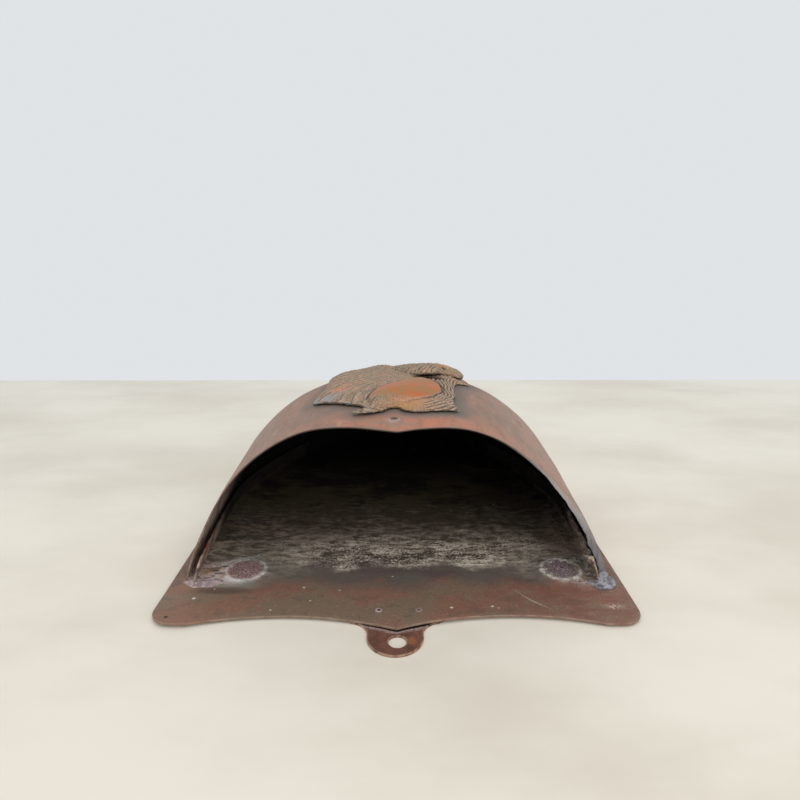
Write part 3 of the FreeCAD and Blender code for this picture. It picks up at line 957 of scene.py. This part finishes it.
def plate_outline():
    """The plate's edge: a point between two hollows, round corners and a tapering lower end."""
    y_shoulder = TOP_SHOULDER[1]
    knee = (PLATE_HIGH[0] - CORNER_RADIUS, y_shoulder)
    turn = CORNER_RADIUS * (1 - math.sqrt(0.5))
    side = (PLATE_HIGH[0], y_shoulder + CORNER_RADIUS)
    top = arc((0, PLATE_LOW[1]), TOP_HOLLOW, TOP_SHOULDER, 60)
    corner = arc(knee, (PLATE_HIGH[0] - turn, y_shoulder + turn), side, 14)
    angles = np.linspace(0, math.pi / 2, 90)
    end_x = PLATE_HIGH[0] * np.cos(angles) ** (2 / END_POWER)
    end_y = BELLY_Y + (PLATE_HIGH[1] - BELLY_Y) * np.sin(angles) ** (2 / END_POWER)
    right = np.concatenate([top, corner, np.stack([end_x, end_y], 1)])
    right = evenly(right, 230)
    right[-1, 0] = 0
    return with_mirror(right)


def plate_bend(x, y):
    """Gentle waves of the plate's free edge, nothing under the pocket."""
    free = ramp(y, -104, -124)
    wave = 0.22 * np.sin(x / 21 + 0.6) + 0.12 * np.sin(x / 8.5)
    return free * wave


def plate_crust(x, y):
    """Flaky crust on the pocket's floor, banked up against the angles' feet, and faint hammer marks."""
    points = np.stack([x / 2.2, y, 0 * x], 1)
    belt = ramp(y, -96, -82) * ramp(y, 60, -30) * ramp(np.abs(x), 92, 80)
    flakes = np.clip(wobble(points, 2.2, 3, 3), 0, None)
    marks = wobble(flat_points(x, y), 9, 6)
    bank = np.zeros(len(x))
    for side in (-1, 1):
        outside = -depth_inside(np.stack([x, y], 1), foot_outline(side))
        bank = np.maximum(bank, ramp(outside, 4.5, 0.4))
    return 0.3 * belt * flakes + 0.05 * marks + 0.9 * ANGLE_SHEET * bank


def add_plate(material):
    outline = plate_outline()
    holes = [circle(x, y, RIVET_SHANK_RADIUS + 0.3, 24) for x, y in rivet_places()]
    belt = np.array([(x, y) for y in np.arange(-98, -40, FINE_BELT_Y)
                     for x in np.arange(-88, 88, FINE_BELT_X)])
    for hole in holes:
        belt = belt[depth_inside(belt, hole) < -1]
    points, faces = sheet([outline] + holes, PLATE_GRID, PLATE_BACK, PLATE_FRONT, 0.32,
                          plate_bend, plate_crust, belt)
    rim = np.abs(depth_inside(points[:, :2], outline))
    wall = np.array([pocket_scale(y)[0] for y in np.clip(points[:, 1], MOUTH_Y, POCKET_END - 0.01)])
    outdoors = ramp(np.abs(points[:, 0]) - wall, -1, 1)
    outdoors *= ramp(points[:, 1], MOUTH_Y - 4, MOUTH_Y)
    add_piece("back_plate_sheet", (points, faces), material, "back_plate",
              {"rim": rim, "outdoors": outdoors})


def tab_outline():
    """Round-ended strap with flared shoulders."""
    y_round = TAB_LOW[1] + TAB_HALF_WIDTH
    flare = TAB_HIGH[0] - TAB_X
    right = np.concatenate([
        arc((0, TAB_LOW[1]), (TAB_HALF_WIDTH * math.sqrt(0.5), y_round - TAB_HALF_WIDTH * math.sqrt(0.5)),
            (TAB_HALF_WIDTH, y_round), 22),
        arc((TAB_HALF_WIDTH, y_round + 2.4), (TAB_HALF_WIDTH + 1.7, y_round + 6.2),
            (flare - 2.6, TAB_SHOULDER_Y + 0.9), 14),
        [(flare, TAB_SHOULDER_Y + 3), (flare, TAB_HIGH[1])],
        [(0, TAB_HIGH[1])],
    ])
    return with_mirror(evenly(right, 90)) + (TAB_X, 0)


def add_tab(material):
    x, y, radius = HANG_HOLE
    loops = [tab_outline(), circle(x, y, radius, 44)]
    loops += [circle(px, py, 1.1, 20) for px, py in TAB_RIVET_PLACES]

    def hammered(px, py):
        return 0.05 * wobble(flat_points(px, py), 4, 2)

    points, faces = sheet(loops, TAB_GRID, TAB_LOW[2], TAB_HIGH[2], 0.3, None, hammered)
    rim = np.minimum(*[np.abs(depth_inside(points[:, :2], loop)) for loop in loops[:2]])
    tuck = -depth_inside(points[:, :2], plate_outline())
    add_piece("hanging_tab_strap", (points, faces), material, "hanging_tab",
              {"rim": rim, "tuck": tuck})


def add_tab_rivets(material):
    """Two small rivets, nearly flush, with a hammered ring round each."""
    parts, rims = [], []
    for x, y in TAB_RIVET_PLACES:
        z = PLATE_FRONT
        profile = [(0, z + 0.12), (0.5, z + 0.12), (0.8, z + 0.2), (1, z + 0.33), (1.25, z + 0.35),
                   (1.45, z + 0.2), (1.5, z + 0.08), (1.5, z), (1, z), (1, 0.15), (0.8, 0), (0, 0)]
        points, faces = lathe(profile, x, y, PIN_SIDES)
        points[:, 2] += 0.05 * wobble(points, 0.9, x) * (points[:, 2] > PLATE_FRONT)
        parts.append((points, faces))
        rims.append(np.hypot(points[:, 0] - x, points[:, 1] - y))
    shape = joined(parts)
    add_piece("tab_rivets_pair", shape, material, "tab_rivets",
              {"rim": 2.2 - np.concatenate(rims), "ridge": ramp(np.concatenate(rims), 0.6, 1.1)})


def rivet_ridges(x, y, centre):
    """Wavy ridges over a rivet's head, from -1 to 1, like the marks of a worn die."""
    flat = np.stack([x, y, np.full(len(x), centre)], 1)
    bend = 2.6 * wobble(flat, 6, 1) + 0.6 * wobble(flat, 1.8, 5)
    lean = 0.8 if centre < 0 else -0.4
    rows = np.sin(TURN * (x * lean + y + bend) / 1.1)
    beads = np.sin(TURN * (x - y * lean + bend) / 0.9)
    return rows * (0.65 + 0.35 * beads)


def add_rivets(material):
    """Four large flat rivets with ridged heads, whose shanks run through to the back."""
    ear = PLATE_FRONT + ANGLE_SHEET
    top = RIVET_TOP - 0.4
    parts, ridges, rims = [], [], []
    for x, y in rivet_places():
        head = [(radius, top - 0.3 * (radius / RIVET_HEAD_RADIUS) ** 4)
                for radius in np.linspace(0, RIVET_HEAD_RADIUS - 0.25, 38)]
        edge = [(RIVET_HEAD_RADIUS, top - 0.5), (RIVET_HEAD_RADIUS, ear + 0.1),
                (RIVET_HEAD_RADIUS - 0.2, ear)]
        shank = [(RIVET_SHANK_RADIUS, ear), (RIVET_SHANK_RADIUS, 0.3),
                 (RIVET_SHANK_RADIUS - 0.3, 0), (0, 0)]
        points, faces = lathe(head + edge + shank, x, y, RIVET_SIDES)
        away = np.hypot(points[:, 0] - x, points[:, 1] - y)
        wave = rivet_ridges(points[:, 0], points[:, 1], x)
        on_head = (points[:, 2] > ear + 0.3) * ramp(away, RIVET_HEAD_RADIUS, RIVET_HEAD_RADIUS - 1.2)
        points[:, 2] += on_head * (0.17 * wave - 0.1)
        parts.append((points, faces))
        ridges.append(0.5 + 0.5 * wave * on_head)
        rims.append(RIVET_HEAD_RADIUS - away)
    add_piece("plate_rivets_heads", joined(parts), material, "plate_rivets",
              {"ridge": np.concatenate(ridges), "rim": np.concatenate(rims)})


def add_burrs(material):
    """A hammered washer behind the plate on each large rivet."""
    parts = []
    for x, y in rivet_places():
        inner, outer = RIVET_SHANK_RADIUS + 0.05, BURR_RADIUS
        profile = [(inner, 1), (outer - 0.2, 1), (outer, 0.8), (outer, 0.25), (outer - 0.35, 0.03),
                   (5.2, 0.1), (4.2, 0.02), (inner + 0.3, 0.04), (inner, 0.3), (inner, 1)]
        points, faces = lathe(profile, x, y, BURR_SIDES)
        points[:, 2] += (points[:, 2] < 0.5) * 0.08 * np.abs(wobble(points, 2, x))
        parts.append((points, faces))
    shape = joined(parts)
    add_piece("rivet_burrs_washers", shape, material, "rivet_burrs",
              {"rim": np.full(len(shape[0]), 3), "ridge": 0.5 + 0.5 * wobble(shape[0], 1.5)})


def foot_outline(side):
    """The angle's foot: a strip along the wall with a round ear under each rivet."""
    y = np.linspace(ANGLE_LOW[1], ANGLE_HIGH[1], 130)
    outer = wall_x(y, PLATE_FRONT, -SHEET - WALL_GAP)
    inner = outer - FOOT_WIDTH
    for x_ear, y_ear in rivet_places():
        if x_ear * side > 0:
            half = np.sqrt(np.clip(EAR_RADIUS ** 2 - (y - y_ear) ** 2, 0, None))
            inner = np.where(half > 0, np.minimum(inner, abs(x_ear) - half), inner)
    loop = np.concatenate([np.stack([outer, y], 1), np.stack([inner, y], 1)[::-1]])
    return evenly(np.concatenate([loop, loop[:1]]), 301)[:-1] * (side, 1)


def add_angle(side, name, material):
    """Folded strip inside one wall: an upstand and a foot, smooth on the left and crusty on the right."""
    lump = 1.7 if side > 0 else 0.25
    ragged = 2.2 if side > 0 else 0.5
    heights = np.linspace(PLATE_FRONT, UPSTAND_TOP, UPSTAND_LEVELS)
    grow = -SHEET - WALL_GAP
    rings = []
    for y in np.linspace(ANGLE_LOW[1], ANGLE_HIGH[1], UPSTAND_ROWS):
        outer, inner = [np.stack([wall_x(y, heights, out), np.full(UPSTAND_LEVELS, y), heights], 1)
                        for out in (grow, grow - ANGLE_SHEET)]
        cap = (outer[-1] + inner[-1]) / 2 + (0, 0, 0.25)
        rings.append(np.concatenate([outer, [cap], inner[::-1]]))
    rings = np.stack(rings)
    count, columns = rings.shape[:2]
    points = rings.reshape(-1, 3)
    rise = (points[:, 2] - PLATE_FRONT) / (UPSTAND_TOP - PLATE_FRONT)
    inner_side = np.tile(np.arange(columns) >= UPSTAND_LEVELS, count)
    lumps = np.clip(wobble(points, 4, 2 + side, 4) + 0.25, 0, None)
    front = 1 + 1.1 * ramp(points[:, 1], -74, -84)
    points[:, 0] -= inner_side * lump * front * lumps * ramp(rise, 0, 0.25)
    points[:, 2] += rise * ragged * wobble(points * (0, 1, 0), 5, 6 + side, 3)
    points[:, 2] = np.maximum(points[:, 2], PLATE_FRONT)
    faces = grid_faces(count, columns, wrap=True)
    faces += [tuple(range(columns))[::-1], tuple(range((count - 1) * columns, count * columns))]
    upstand = (points * (side, 1, 1), faces)
    ears = [(x, y) for x, y in rivet_places() if x * side > 0]

    def crust(x, y):
        """Lumps of crust, banked up round the rivet heads and against the upstand."""
        flakes = np.clip(wobble(flat_points(x, y), 2.6, 8, 3), 0, None)
        bank = np.zeros(len(x))
        for x_ear, y_ear in ears:
            away = np.hypot(x - x_ear, y - y_ear)
            bank = np.maximum(bank, ramp(away, 11, RIVET_HEAD_RADIUS) * (away > 6))
        wall = ramp(wall_x(y, PLATE_FRONT, grow - ANGLE_SHEET) - np.abs(x), 3.5, 0)
        return (0.35 + 0.4 * lump) * flakes + 0.45 * bank + 1.2 * lump * wall

    foot_top = PLATE_FRONT + ANGLE_SHEET
    foot = sheet([foot_outline(side)], FOOT_GRID, PLATE_FRONT, foot_top, 0.25, None, crust)
    node = "seam_angle_" + name
    add_piece(node + "_strip", joined([upstand, foot]), material, node)


def add_solder(side, name, material):
    """Solder in the channel behind the upstand, and a lumpy mound round the foot of the shell."""
    node = "seam_solder_" + name
    top = corners(node)[1][2] - 0.4
    rings = []
    for y in np.linspace(mouth_edge(BELLY_HALF_WIDTH), ANGLE_HIGH[1], 150):
        level = top + 0.5 * noise.fractal(Vector((side * 3, y / 5, 0)), 1, 2, 3)
        rings.append([
            (wall_x(y, PLATE_FRONT, -SHEET), y, PLATE_FRONT),
            (wall_x(y, level, -SHEET), y, level + 0.5),
            (wall_x(y, level, -SHEET - WALL_GAP / 2), y, level - 0.2),
            (wall_x(y, level, -SHEET - WALL_GAP), y, level + 0.3),
            (wall_x(y, PLATE_FRONT, -SHEET - WALL_GAP), y, PLATE_FRONT),
        ])
    rings = np.array(rings, float)
    faces = grid_faces(len(rings), 5, wrap=True)
    faces += [(4, 3, 2, 1, 0), tuple(range(len(rings) * 5 - 5, len(rings) * 5))]
    strip = (rings.reshape(-1, 3) * (side, 1, 1), faces)

    profile = [(r, math.sqrt(max(0, 1 - r * r))) for r in np.linspace(0, 1, 16)] + [(0, 0)]
    points, mound_faces = lathe(profile, 0, 0, MOUND_SIDES)
    reach = 1 + 0.28 * wobble(points * (1, 1, 0), 0.9, 3 * side, 3)
    x_foot = wall_x(MOUTH_Y, PLATE_FRONT, -SHEET)
    lumps = 1 + 0.35 * wobble(points, 0.35, side, 3)
    half_x, half_y, overlap = (6.6, 6.2, 4.4) if side > 0 else (10, 4, 2.4)
    mound = np.column_stack([x_foot + overlap - half_x + points[:, 0] * half_x * reach,
                             MOUTH_Y - 0.2 + points[:, 1] * half_y * reach,
                             PLATE_FRONT + np.clip(points[:, 2] * 1.7 * lumps, 0, None)])
    if side > 0:
        from_lip = np.hypot(mound[:, 0] - x_foot + 1, mound[:, 1] - MOUTH_Y - 0.5)
        mound[:, 2] += 4.5 * bump(from_lip, 2.8) * points[:, 2]
    mound *= (side, 1, 1)
    add_piece(node + "_run", joined([strip, (mound, mound_faces)]), material, node)


def add_pins(material):
    """Two pins under the relief, their tails hammered over inside the shell."""
    parts = []
    for x, y in PIN_PLACES:
        ceiling = float(skin_height(x, y, -SHEET))
        top = ceiling + SHEET + 1.8
        profile = [(0, top), (1.25, top), (1.25, ceiling), (2.6, ceiling), (2.65, ceiling - 0.3),
                   (2.4, ceiling - 0.7), (1.6, ceiling - 0.95), (0, ceiling - 0.9)]
        points, faces = lathe(profile, x, y, PIN_SIDES)
        points[:, 2] += (points[:, 2] < PLATE_FRONT + 80) * 0.12 * wobble(points, 1.4, x)
        parts.append((points, faces))
    shape = joined(parts)
    count = len(shape[0])
    add_piece("relief_pins_tails", shape, material, "relief_pins",
              {"rim": np.full(count, 3), "ridge": np.full(count, 0.4)})


# Eagle relief: outlines in plan, x and y in millimetres

RELIEF_OUTLINE = (
    (-17.5, -85.4), (-19.5, -83.2), (-15.5, -79.5), (-16, -75), (-24, -69), (-33, -62.5),
    (-39, -58.5), (-41, -54), (-39.5, -44), (-37, -32), (-35.5, -21), (-33, -11),
    (-28.5, -4.5), (-21, -1), (-13, 1.5), (-4, 2.5), (6, 2.5), (16, 3), (25, 1.5),
    (31.5, -3), (34.5, -11), (37, -17), (38.8, -22.5), (34.5, -25.5), (31, -30),
    (29, -40), (28.5, -54), (26.5, -66), (28, -75.5), (26, -78), (17, -81.5),
    (9, -83.8), (3, -81.4), (0, -78), (-3.5, -79), (-6, -82.6), (-11, -85),
)
LOBE_OUTLINE = (
    (-12.5, -75), (-13, -67), (-9, -55), (-2, -46), (5.5, -39), (12, -36), (18, -40),
    (21.5, -50), (20, -60), (14, -67.5), (6, -72), (-2, -74.5), (-8, -77),
)
STRAND_GUIDE = ((21, -20), (20, -34), (20.4, -44), (21.2, -54.5), (20, -63.5), (15.2, -70.2),
                (7, -74.3), (-4, -76.5))
FAN_CENTRE = (20, -6)
CREST = ((-35, -22), (-29, -9), (-19, -4), (-6, -4))
HUMP = (-8, -9)
# Along the head: middle x and y, level over the skin, half width, half height
HEAD_ROWS = (
    (-6, -6, 2, 5, 2), (3, -9.5, 2.9, 9.5, 2.9), (11.5, -12.5, 3.4, 12.6, 3.4),
    (18.5, -13.5, 3.9, 12.4, 3.5), (24.8, -14.5, 4.1, 9.8, 3.2), (29, -16.5, 4, 6.8, 2.7),
    (32, -19.3, 3.8, 3.9, 2.1), (33.6, -22.5, 3.5, 1.6, 1.2),
)


def feather_fan(x, y):
    """Long feathers that fan out from the shoulder: height, groove depth and ridge share."""
    dx, dy = x - FAN_CENTRE[0], y - FAN_CENTRE[1]
    radius = np.hypot(dx, dy)
    flat = flat_points(x, y)
    angle = np.degrees(np.arctan2(-dx, -dy)) + 0.10 * radius + 3.5 * wobble(flat, 22, 2)
    angle += 0.8 * wobble(flat, 4, 6)
    place = angle / 4.6
    share = place - np.floor(place)
    edge = ramp(share, 0.78, 0.98)
    away = ramp(radius, 14, 30)
    height = away * 0.6 * share * (1 - edge) * ramp(radius, 78, 52)
    barbs = np.cos(TURN * (3 * share + radius / 9))
    height += 0.10 * away * barbs
    row = radius / 4.6
    scale = (row - np.floor(row)) * np.abs(np.cos(math.pi * (angle / 8 + 0.5 * (np.floor(row) % 2))))
    near = 1 - away
    height += near * 0.8 * scale
    groove = np.maximum(away * ramp(share, 0.84, 0.97) * ramp(share, 1, 0.97),
                        near * ramp(scale, 0.16, 0) * 0.6)
    groove = np.maximum(0.6 * groove, 0.15 * away * ramp(barbs, -0.3, -0.9))
    ridge = 0.8 * away * bump(share - 0.72, 0.16) + near * ramp(scale, 0.55, 0.9)
    return height, groove, ridge


def relief_height(x, y, border):
    """Height of the casting over the skin, and its masks for the material."""
    flat = flat_points(x, y)
    plan = flat[:, :2]
    height = 0.9 + 2.3 * (1 - np.exp(-border / 6))
    fan, fan_groove, fan_ridge = feather_fan(x, y)
    guide = curve_through(STRAND_GUIDE, 60)
    guide_way, _ = path_distance(plan, guide, closed=False)
    right = ramp(x + 0.9 * (y + 62) * (y < -62), 14, 18)
    low = ramp(y, -70, -74) * ramp(x, 8, 17)
    strand_area = np.maximum(right * ramp(y, -22, -30), low)
    lobe = depth_inside(plan, closed_curve(LOBE_OUTLINE, 120))
    strand_area *= lobe < 0.3
    wave = guide_way + 0.45 * np.sin(y / 3) + 0.6 * wobble(flat, 9, 4)
    strand = np.abs(np.cos(math.pi * wave / 1.7))
    calm = ramp(y, -64, -71) * ramp(x, -9, -3)
    fan, fan_groove, fan_ridge = fan * (1 - 0.8 * calm), fan_groove * (1 - calm), fan_ridge * (1 - calm)
    height += (1 - strand_area) * fan
    height += strand_area * (0.85 * strand - 0.2 + 0.7 * bump(guide_way - 4, 5))
    groove = (1 - strand_area) * fan_groove + 0.8 * strand_area * ramp(strand, 0.55, 0.15)
    ridge = (1 - strand_area) * fan_ridge + strand_area * ramp(strand, 0.72, 0.98)

    crest, _ = path_distance(plan, curve_through(CREST, 40), closed=False)
    height += 1.4 * bump(crest, 9)
    hump_way = np.hypot(x - HUMP[0], (y - HUMP[1]) * 1.2)
    height += 1.5 * bump(hump_way, 8) + 0.22 * np.cos(TURN * hump_way / 1.9) * bump(hump_way, 9)
    # A pit under the head, marked near-black in the material as painted shadow.
    pit_way = np.hypot((x - 16.4 + 0.2 * (y + 28.5)) / 7.2, (y + 28.5) / 4.8)
    pit = bump(pit_way + 0.2 * wobble(flat, 3.5, 6), 1)
    height -= 3.4 * pit
    groove = np.maximum(groove, 0.94 * ramp(pit, 0.1, 0.5))

    body = ramp(lobe, -0.2, 0.9)
    swell = 1 - np.exp(-np.clip(lobe, 0, None) / 5)
    dome = 3.6 + 2.9 * swell * ramp(y, -86, -60) + 0.12 * wobble(flat, 8, 7)
    height = height + body * (np.maximum(dome, height * 0.4) - height)
    fade = ramp(y + 2.5 * wobble(flat, 5, 2) + 0.10 * x, -75, -67)
    polish = body * fade
    crease = bump(lobe + 0.7, 0.55) * fade
    height -= 0.8 * crease
    groove = np.maximum(groove * (1 - polish), 0.8 * crease)
    ridge = np.maximum(ridge * (1 - body), 0.8 * bump(lobe - 0.5, 0.45) * fade)

    foot = ramp(y, -77, -80.5) * ramp(x, 1, -2)
    toes = np.abs(np.cos(math.pi * (y + 0.55 * x + 1.2 * np.sin(x / 4)) / 3.1))
    height += foot * (0.9 * toes - 0.3)
    groove = np.maximum(groove, foot * ramp(toes, 0.35, 0.05))
    rough_area = 1 - 0.85 * polish
    height += (0.20 * wobble(flat, 2.6, 1, 3) + 0.10 * wobble(flat, 1.1, 3, 2)) * rough_area
    height -= 0.3 * np.clip(1 - border / 0.8, 0, 1) ** 2
    broken = ramp(wobble(flat, 3, 8, 2), 0, 0.35)
    edge = ramp(border, 2.2, 0.5) * ramp(x, -8, -14) * ramp(y, -50, -58)
    bloom = np.maximum(0.8 * edge * broken, spot(x, y, -35.5, -58, 6.5, 5))
    bloom = np.maximum(bloom, spot(x, y, -17, -84.5, 4, 3))
    ochre = spot(x, y, 6, -77.5, 8, 5)
    pink = np.maximum(spot(x, y, -29, -49, 5, 5), spot(x, y, -23, -42, 4, 4))
    pink = np.maximum(pink, 0.5 * spot(x, y, 10, -72, 8, 4))
    return height, {"polish": polish, "groove": np.clip(groove, 0, 1), "ridge": np.clip(ridge, 0, 1),
                    "bloom": bloom, "ochre": ochre, "pink": pink}


def raised(x, y, height):
    """Points that stand that far off the skin, over the places x, y."""
    base = np.stack([x, y, skin_height(x, y)], 1)
    return base + skin_normal(x, y) * np.asarray(height)[:, None]


def relief_casting():
    """The casting's body: a sculpted top and a hollowed underside that stands off at the border."""
    outline = closed_curve(RELIEF_OUTLINE, 620)
    shake = np.stack([wobble(np.column_stack([outline, np.zeros(620)]), 2.4, k, 3) for k in (1, 5)], 1)
    outline = outline + 0.35 * shake
    flat, triangles = fill([outline], inner_points([outline], RELIEF_GRID))
    x, y = flat.T
    border = np.abs(depth_inside(flat, outline))
    height, masks = relief_height(x, y, border)
    near = ramp(y, -48, -62)
    under = 0.15 + (0.25 + 0.7 * near) * bump(border, 2.6)
    count, rim = len(flat), len(outline)
    middle = raised(x[:rim], y[:rim], (height[:rim] + under[:rim]) / 2)
    middle[:, :2] += 0.2 * (outline - inset(outline, 1))
    points = np.concatenate([raised(x, y, height), raised(x, y, under), middle])
    faces = both_sides(triangles, count)
    for i in range(rim):
        k = (i + 1) % rim
        faces.append((i, k, 2 * count + k, 2 * count + i))
        faces.append((2 * count + i, 2 * count + k, count + k, count + i))
    # The underside is marked as full groove, which the material paints near-black as shade.
    marks = {}
    for name, values in masks.items():
        below = np.full(count, 1) if name == "groove" else np.zeros(count)
        marks[name] = np.concatenate([values, below, values[:rim]])
    return points, faces, marks


def relief_head():
    """The bird's head: neck, brow and hooked beak, standing over the casting."""
    rows = curve_through(HEAD_ROWS, HEAD_RINGS)
    turns = np.linspace(0, TURN, HEAD_SIDES, endpoint=False)
    along = np.gradient(rows[:, :2], axis=0)
    along /= np.linalg.norm(along, axis=1)[:, None]
    side = np.stack([along[:, 1], -along[:, 0]], 1)
    share = np.linspace(0, 1, len(rows))[:, None]
    ends = np.sqrt(np.clip(np.minimum(share / 0.05, (1 - share) / 0.02), 0, 1))
    cosine, tall = np.cos(turns), np.sin(turns)
    middle_x, middle_y, level, half_width, half_height = rows.T[:, :, None]
    wide = half_width * np.sign(cosine) * np.abs(cosine) ** 0.8 * ends
    x = (middle_x + side[:, 0, None] * wide).ravel()
    y = (middle_y + side[:, 1, None] * wide).ravel()
    lift = (level + half_height * ends * np.where(tall > 0, tall, 0.9 * tall)).ravel()
    flat = np.stack([x, y, lift], 1)
    shade = ramp(x, 11, 14) * ramp(x, 26, 22)
    upper = ramp(np.tile(tall, len(rows)), -0.75 + 0.45 * shade, -0.2 + 0.45 * shade)
    neck = ramp(x, 26, 16)
    comb = np.abs(np.cos(math.pi * (x * 0.9 - 0.5 * y + 1.4 * wobble(flat, 5, 3)) / 2))
    lift += upper * neck * (0.4 * comb - 0.2)
    eye = np.hypot(x - 24.5, (y + 20) * 1.1)
    brow_line = np.abs(y + 16 + 0.35 * (x - 24))
    brow = bump(brow_line, 1.1) * ramp(np.abs(x - 24), 6.5, 3)
    lift += upper * (0.6 * brow - 0.8 * bump(eye, 1.5) + 0.6 * bump(eye, 0.7))
    mouth = bump(np.abs(y + 27.5 + 0.4 * (x - 31)), 0.5) * ramp(x, 27, 30)
    lift -= 0.5 * mouth
    lift += 0.22 * wobble(flat, 2.4, 2, 3)
    # The head's underside counts as groove, painted near-black as shade.
    groove = np.maximum(upper * neck * ramp(comb, 0.4, 0.1) * 0.8, 1 - upper)
    groove = np.maximum(groove, np.maximum(bump(eye, 1.1), 0.7 * mouth))
    ridge = upper * np.maximum(neck * ramp(comb, 0.8, 1) * 0.6, brow)
    ochre = spot(x, y, 23, -15, 4.5, 4.5) * upper
    zeros = np.zeros(len(x))
    marks = {"polish": zeros, "groove": np.clip(groove, 0, 1), "ridge": ridge, "bloom": zeros,
             "ochre": ochre, "pink": zeros}
    return raised(x, y, lift), grid_faces(HEAD_RINGS, HEAD_SIDES, wrap=True), marks


def add_relief(material):
    points, faces, marks = relief_casting()
    head_points, head_faces, head_marks = relief_head()
    last = len(head_points)
    head_faces += [tuple(range(HEAD_SIDES)), tuple(range(last - HEAD_SIDES, last))[::-1]]
    shape = joined([(points, faces), (head_points, head_faces)])
    both = {name: np.concatenate([marks[name], head_marks[name]]) for name in marks}
    add_piece("eagle_relief_casting", shape, material, "eagle_relief", both)


# Stage


def add_camera():
    data = bpy.data.cameras.new("camera")
    data.lens = CAMERA_LENS
    data.sensor_width = 36
    camera = add_object("camera", data)
    camera.location = CAMERA_PLACE
    camera.rotation_euler = (math.radians(90 - CAMERA_PITCH), 0, math.radians(CAMERA_YAW))
    bpy.context.scene.camera = camera


def add_table():
    """Plain polished cream table top that ends behind the object."""
    half, near = 3, -3
    low = [(-half, near), (half, near), (half, TABLE_END), (-half, TABLE_END)]
    mesh = bpy.data.meshes.new("table_top")
    mesh.from_pydata([(x, y, 0) for x, y in low], [], [(0, 1, 2, 3)])
    table = add_object("table_top", mesh)
    paint = Paint("table", specular=0.3)
    clouds = paint.noise(90, stretch=(1.8, 1, 1), detail=6)
    colour = paint.blend(clouds.step(0.35, 0.7), (230, 223, 208), (214, 205, 189))
    mesh.materials.append(paint.finish(colour, 0.28))


def add_light(name, place, target, size, power):
    """Square or oblong lamp at a place, in metres, turned to face the target."""
    data = bpy.data.lights.new(name, "AREA")
    data.shape = "RECTANGLE"
    data.size, data.size_y = size
    data.energy = power
    data.color = LAMP_COLOUR
    lamp = add_object(name, data)
    lamp.location = place
    lamp.rotation_euler = (Vector(target) - Vector(place)).to_track_quat("-Z", "Y").to_euler()


def add_world():
    world = bpy.data.worlds.new("studio")
    world.use_nodes = True
    background = world.node_tree.nodes["Background"]
    background.inputs["Color"].default_value = SKY_COLOUR
    background.inputs["Strength"].default_value = SKY_STRENGTH
    bpy.context.scene.world = world


bpy.context.scene.view_settings.view_transform = "Standard"
add_camera()
add_table()
add_world()
add_light("overhead", (0.2, -0.5, 1.2), (0, 0, 0), (1.2, 1.2), 4)
add_light("front", (0.6, -1.8, 0.9), (0, 0, 0.03), (1.4, 1), 13)

add_shell(shell_copper())
add_plate(plate_copper())
add_tab(tab_copper())
angle_paint = angle_copper()
solder_paint = solder_grey()
for side, name in ((-1, "left"), (1, "right")):
    add_angle(side, name, angle_paint)
    add_solder(side, name, solder_paint)
rivet_paint = rivet_copper()
add_tab_rivets(rivet_paint)
add_rivets(rivet_paint)
add_burrs(rivet_paint)
add_pins(rivet_paint)
add_relief(relief_copper())
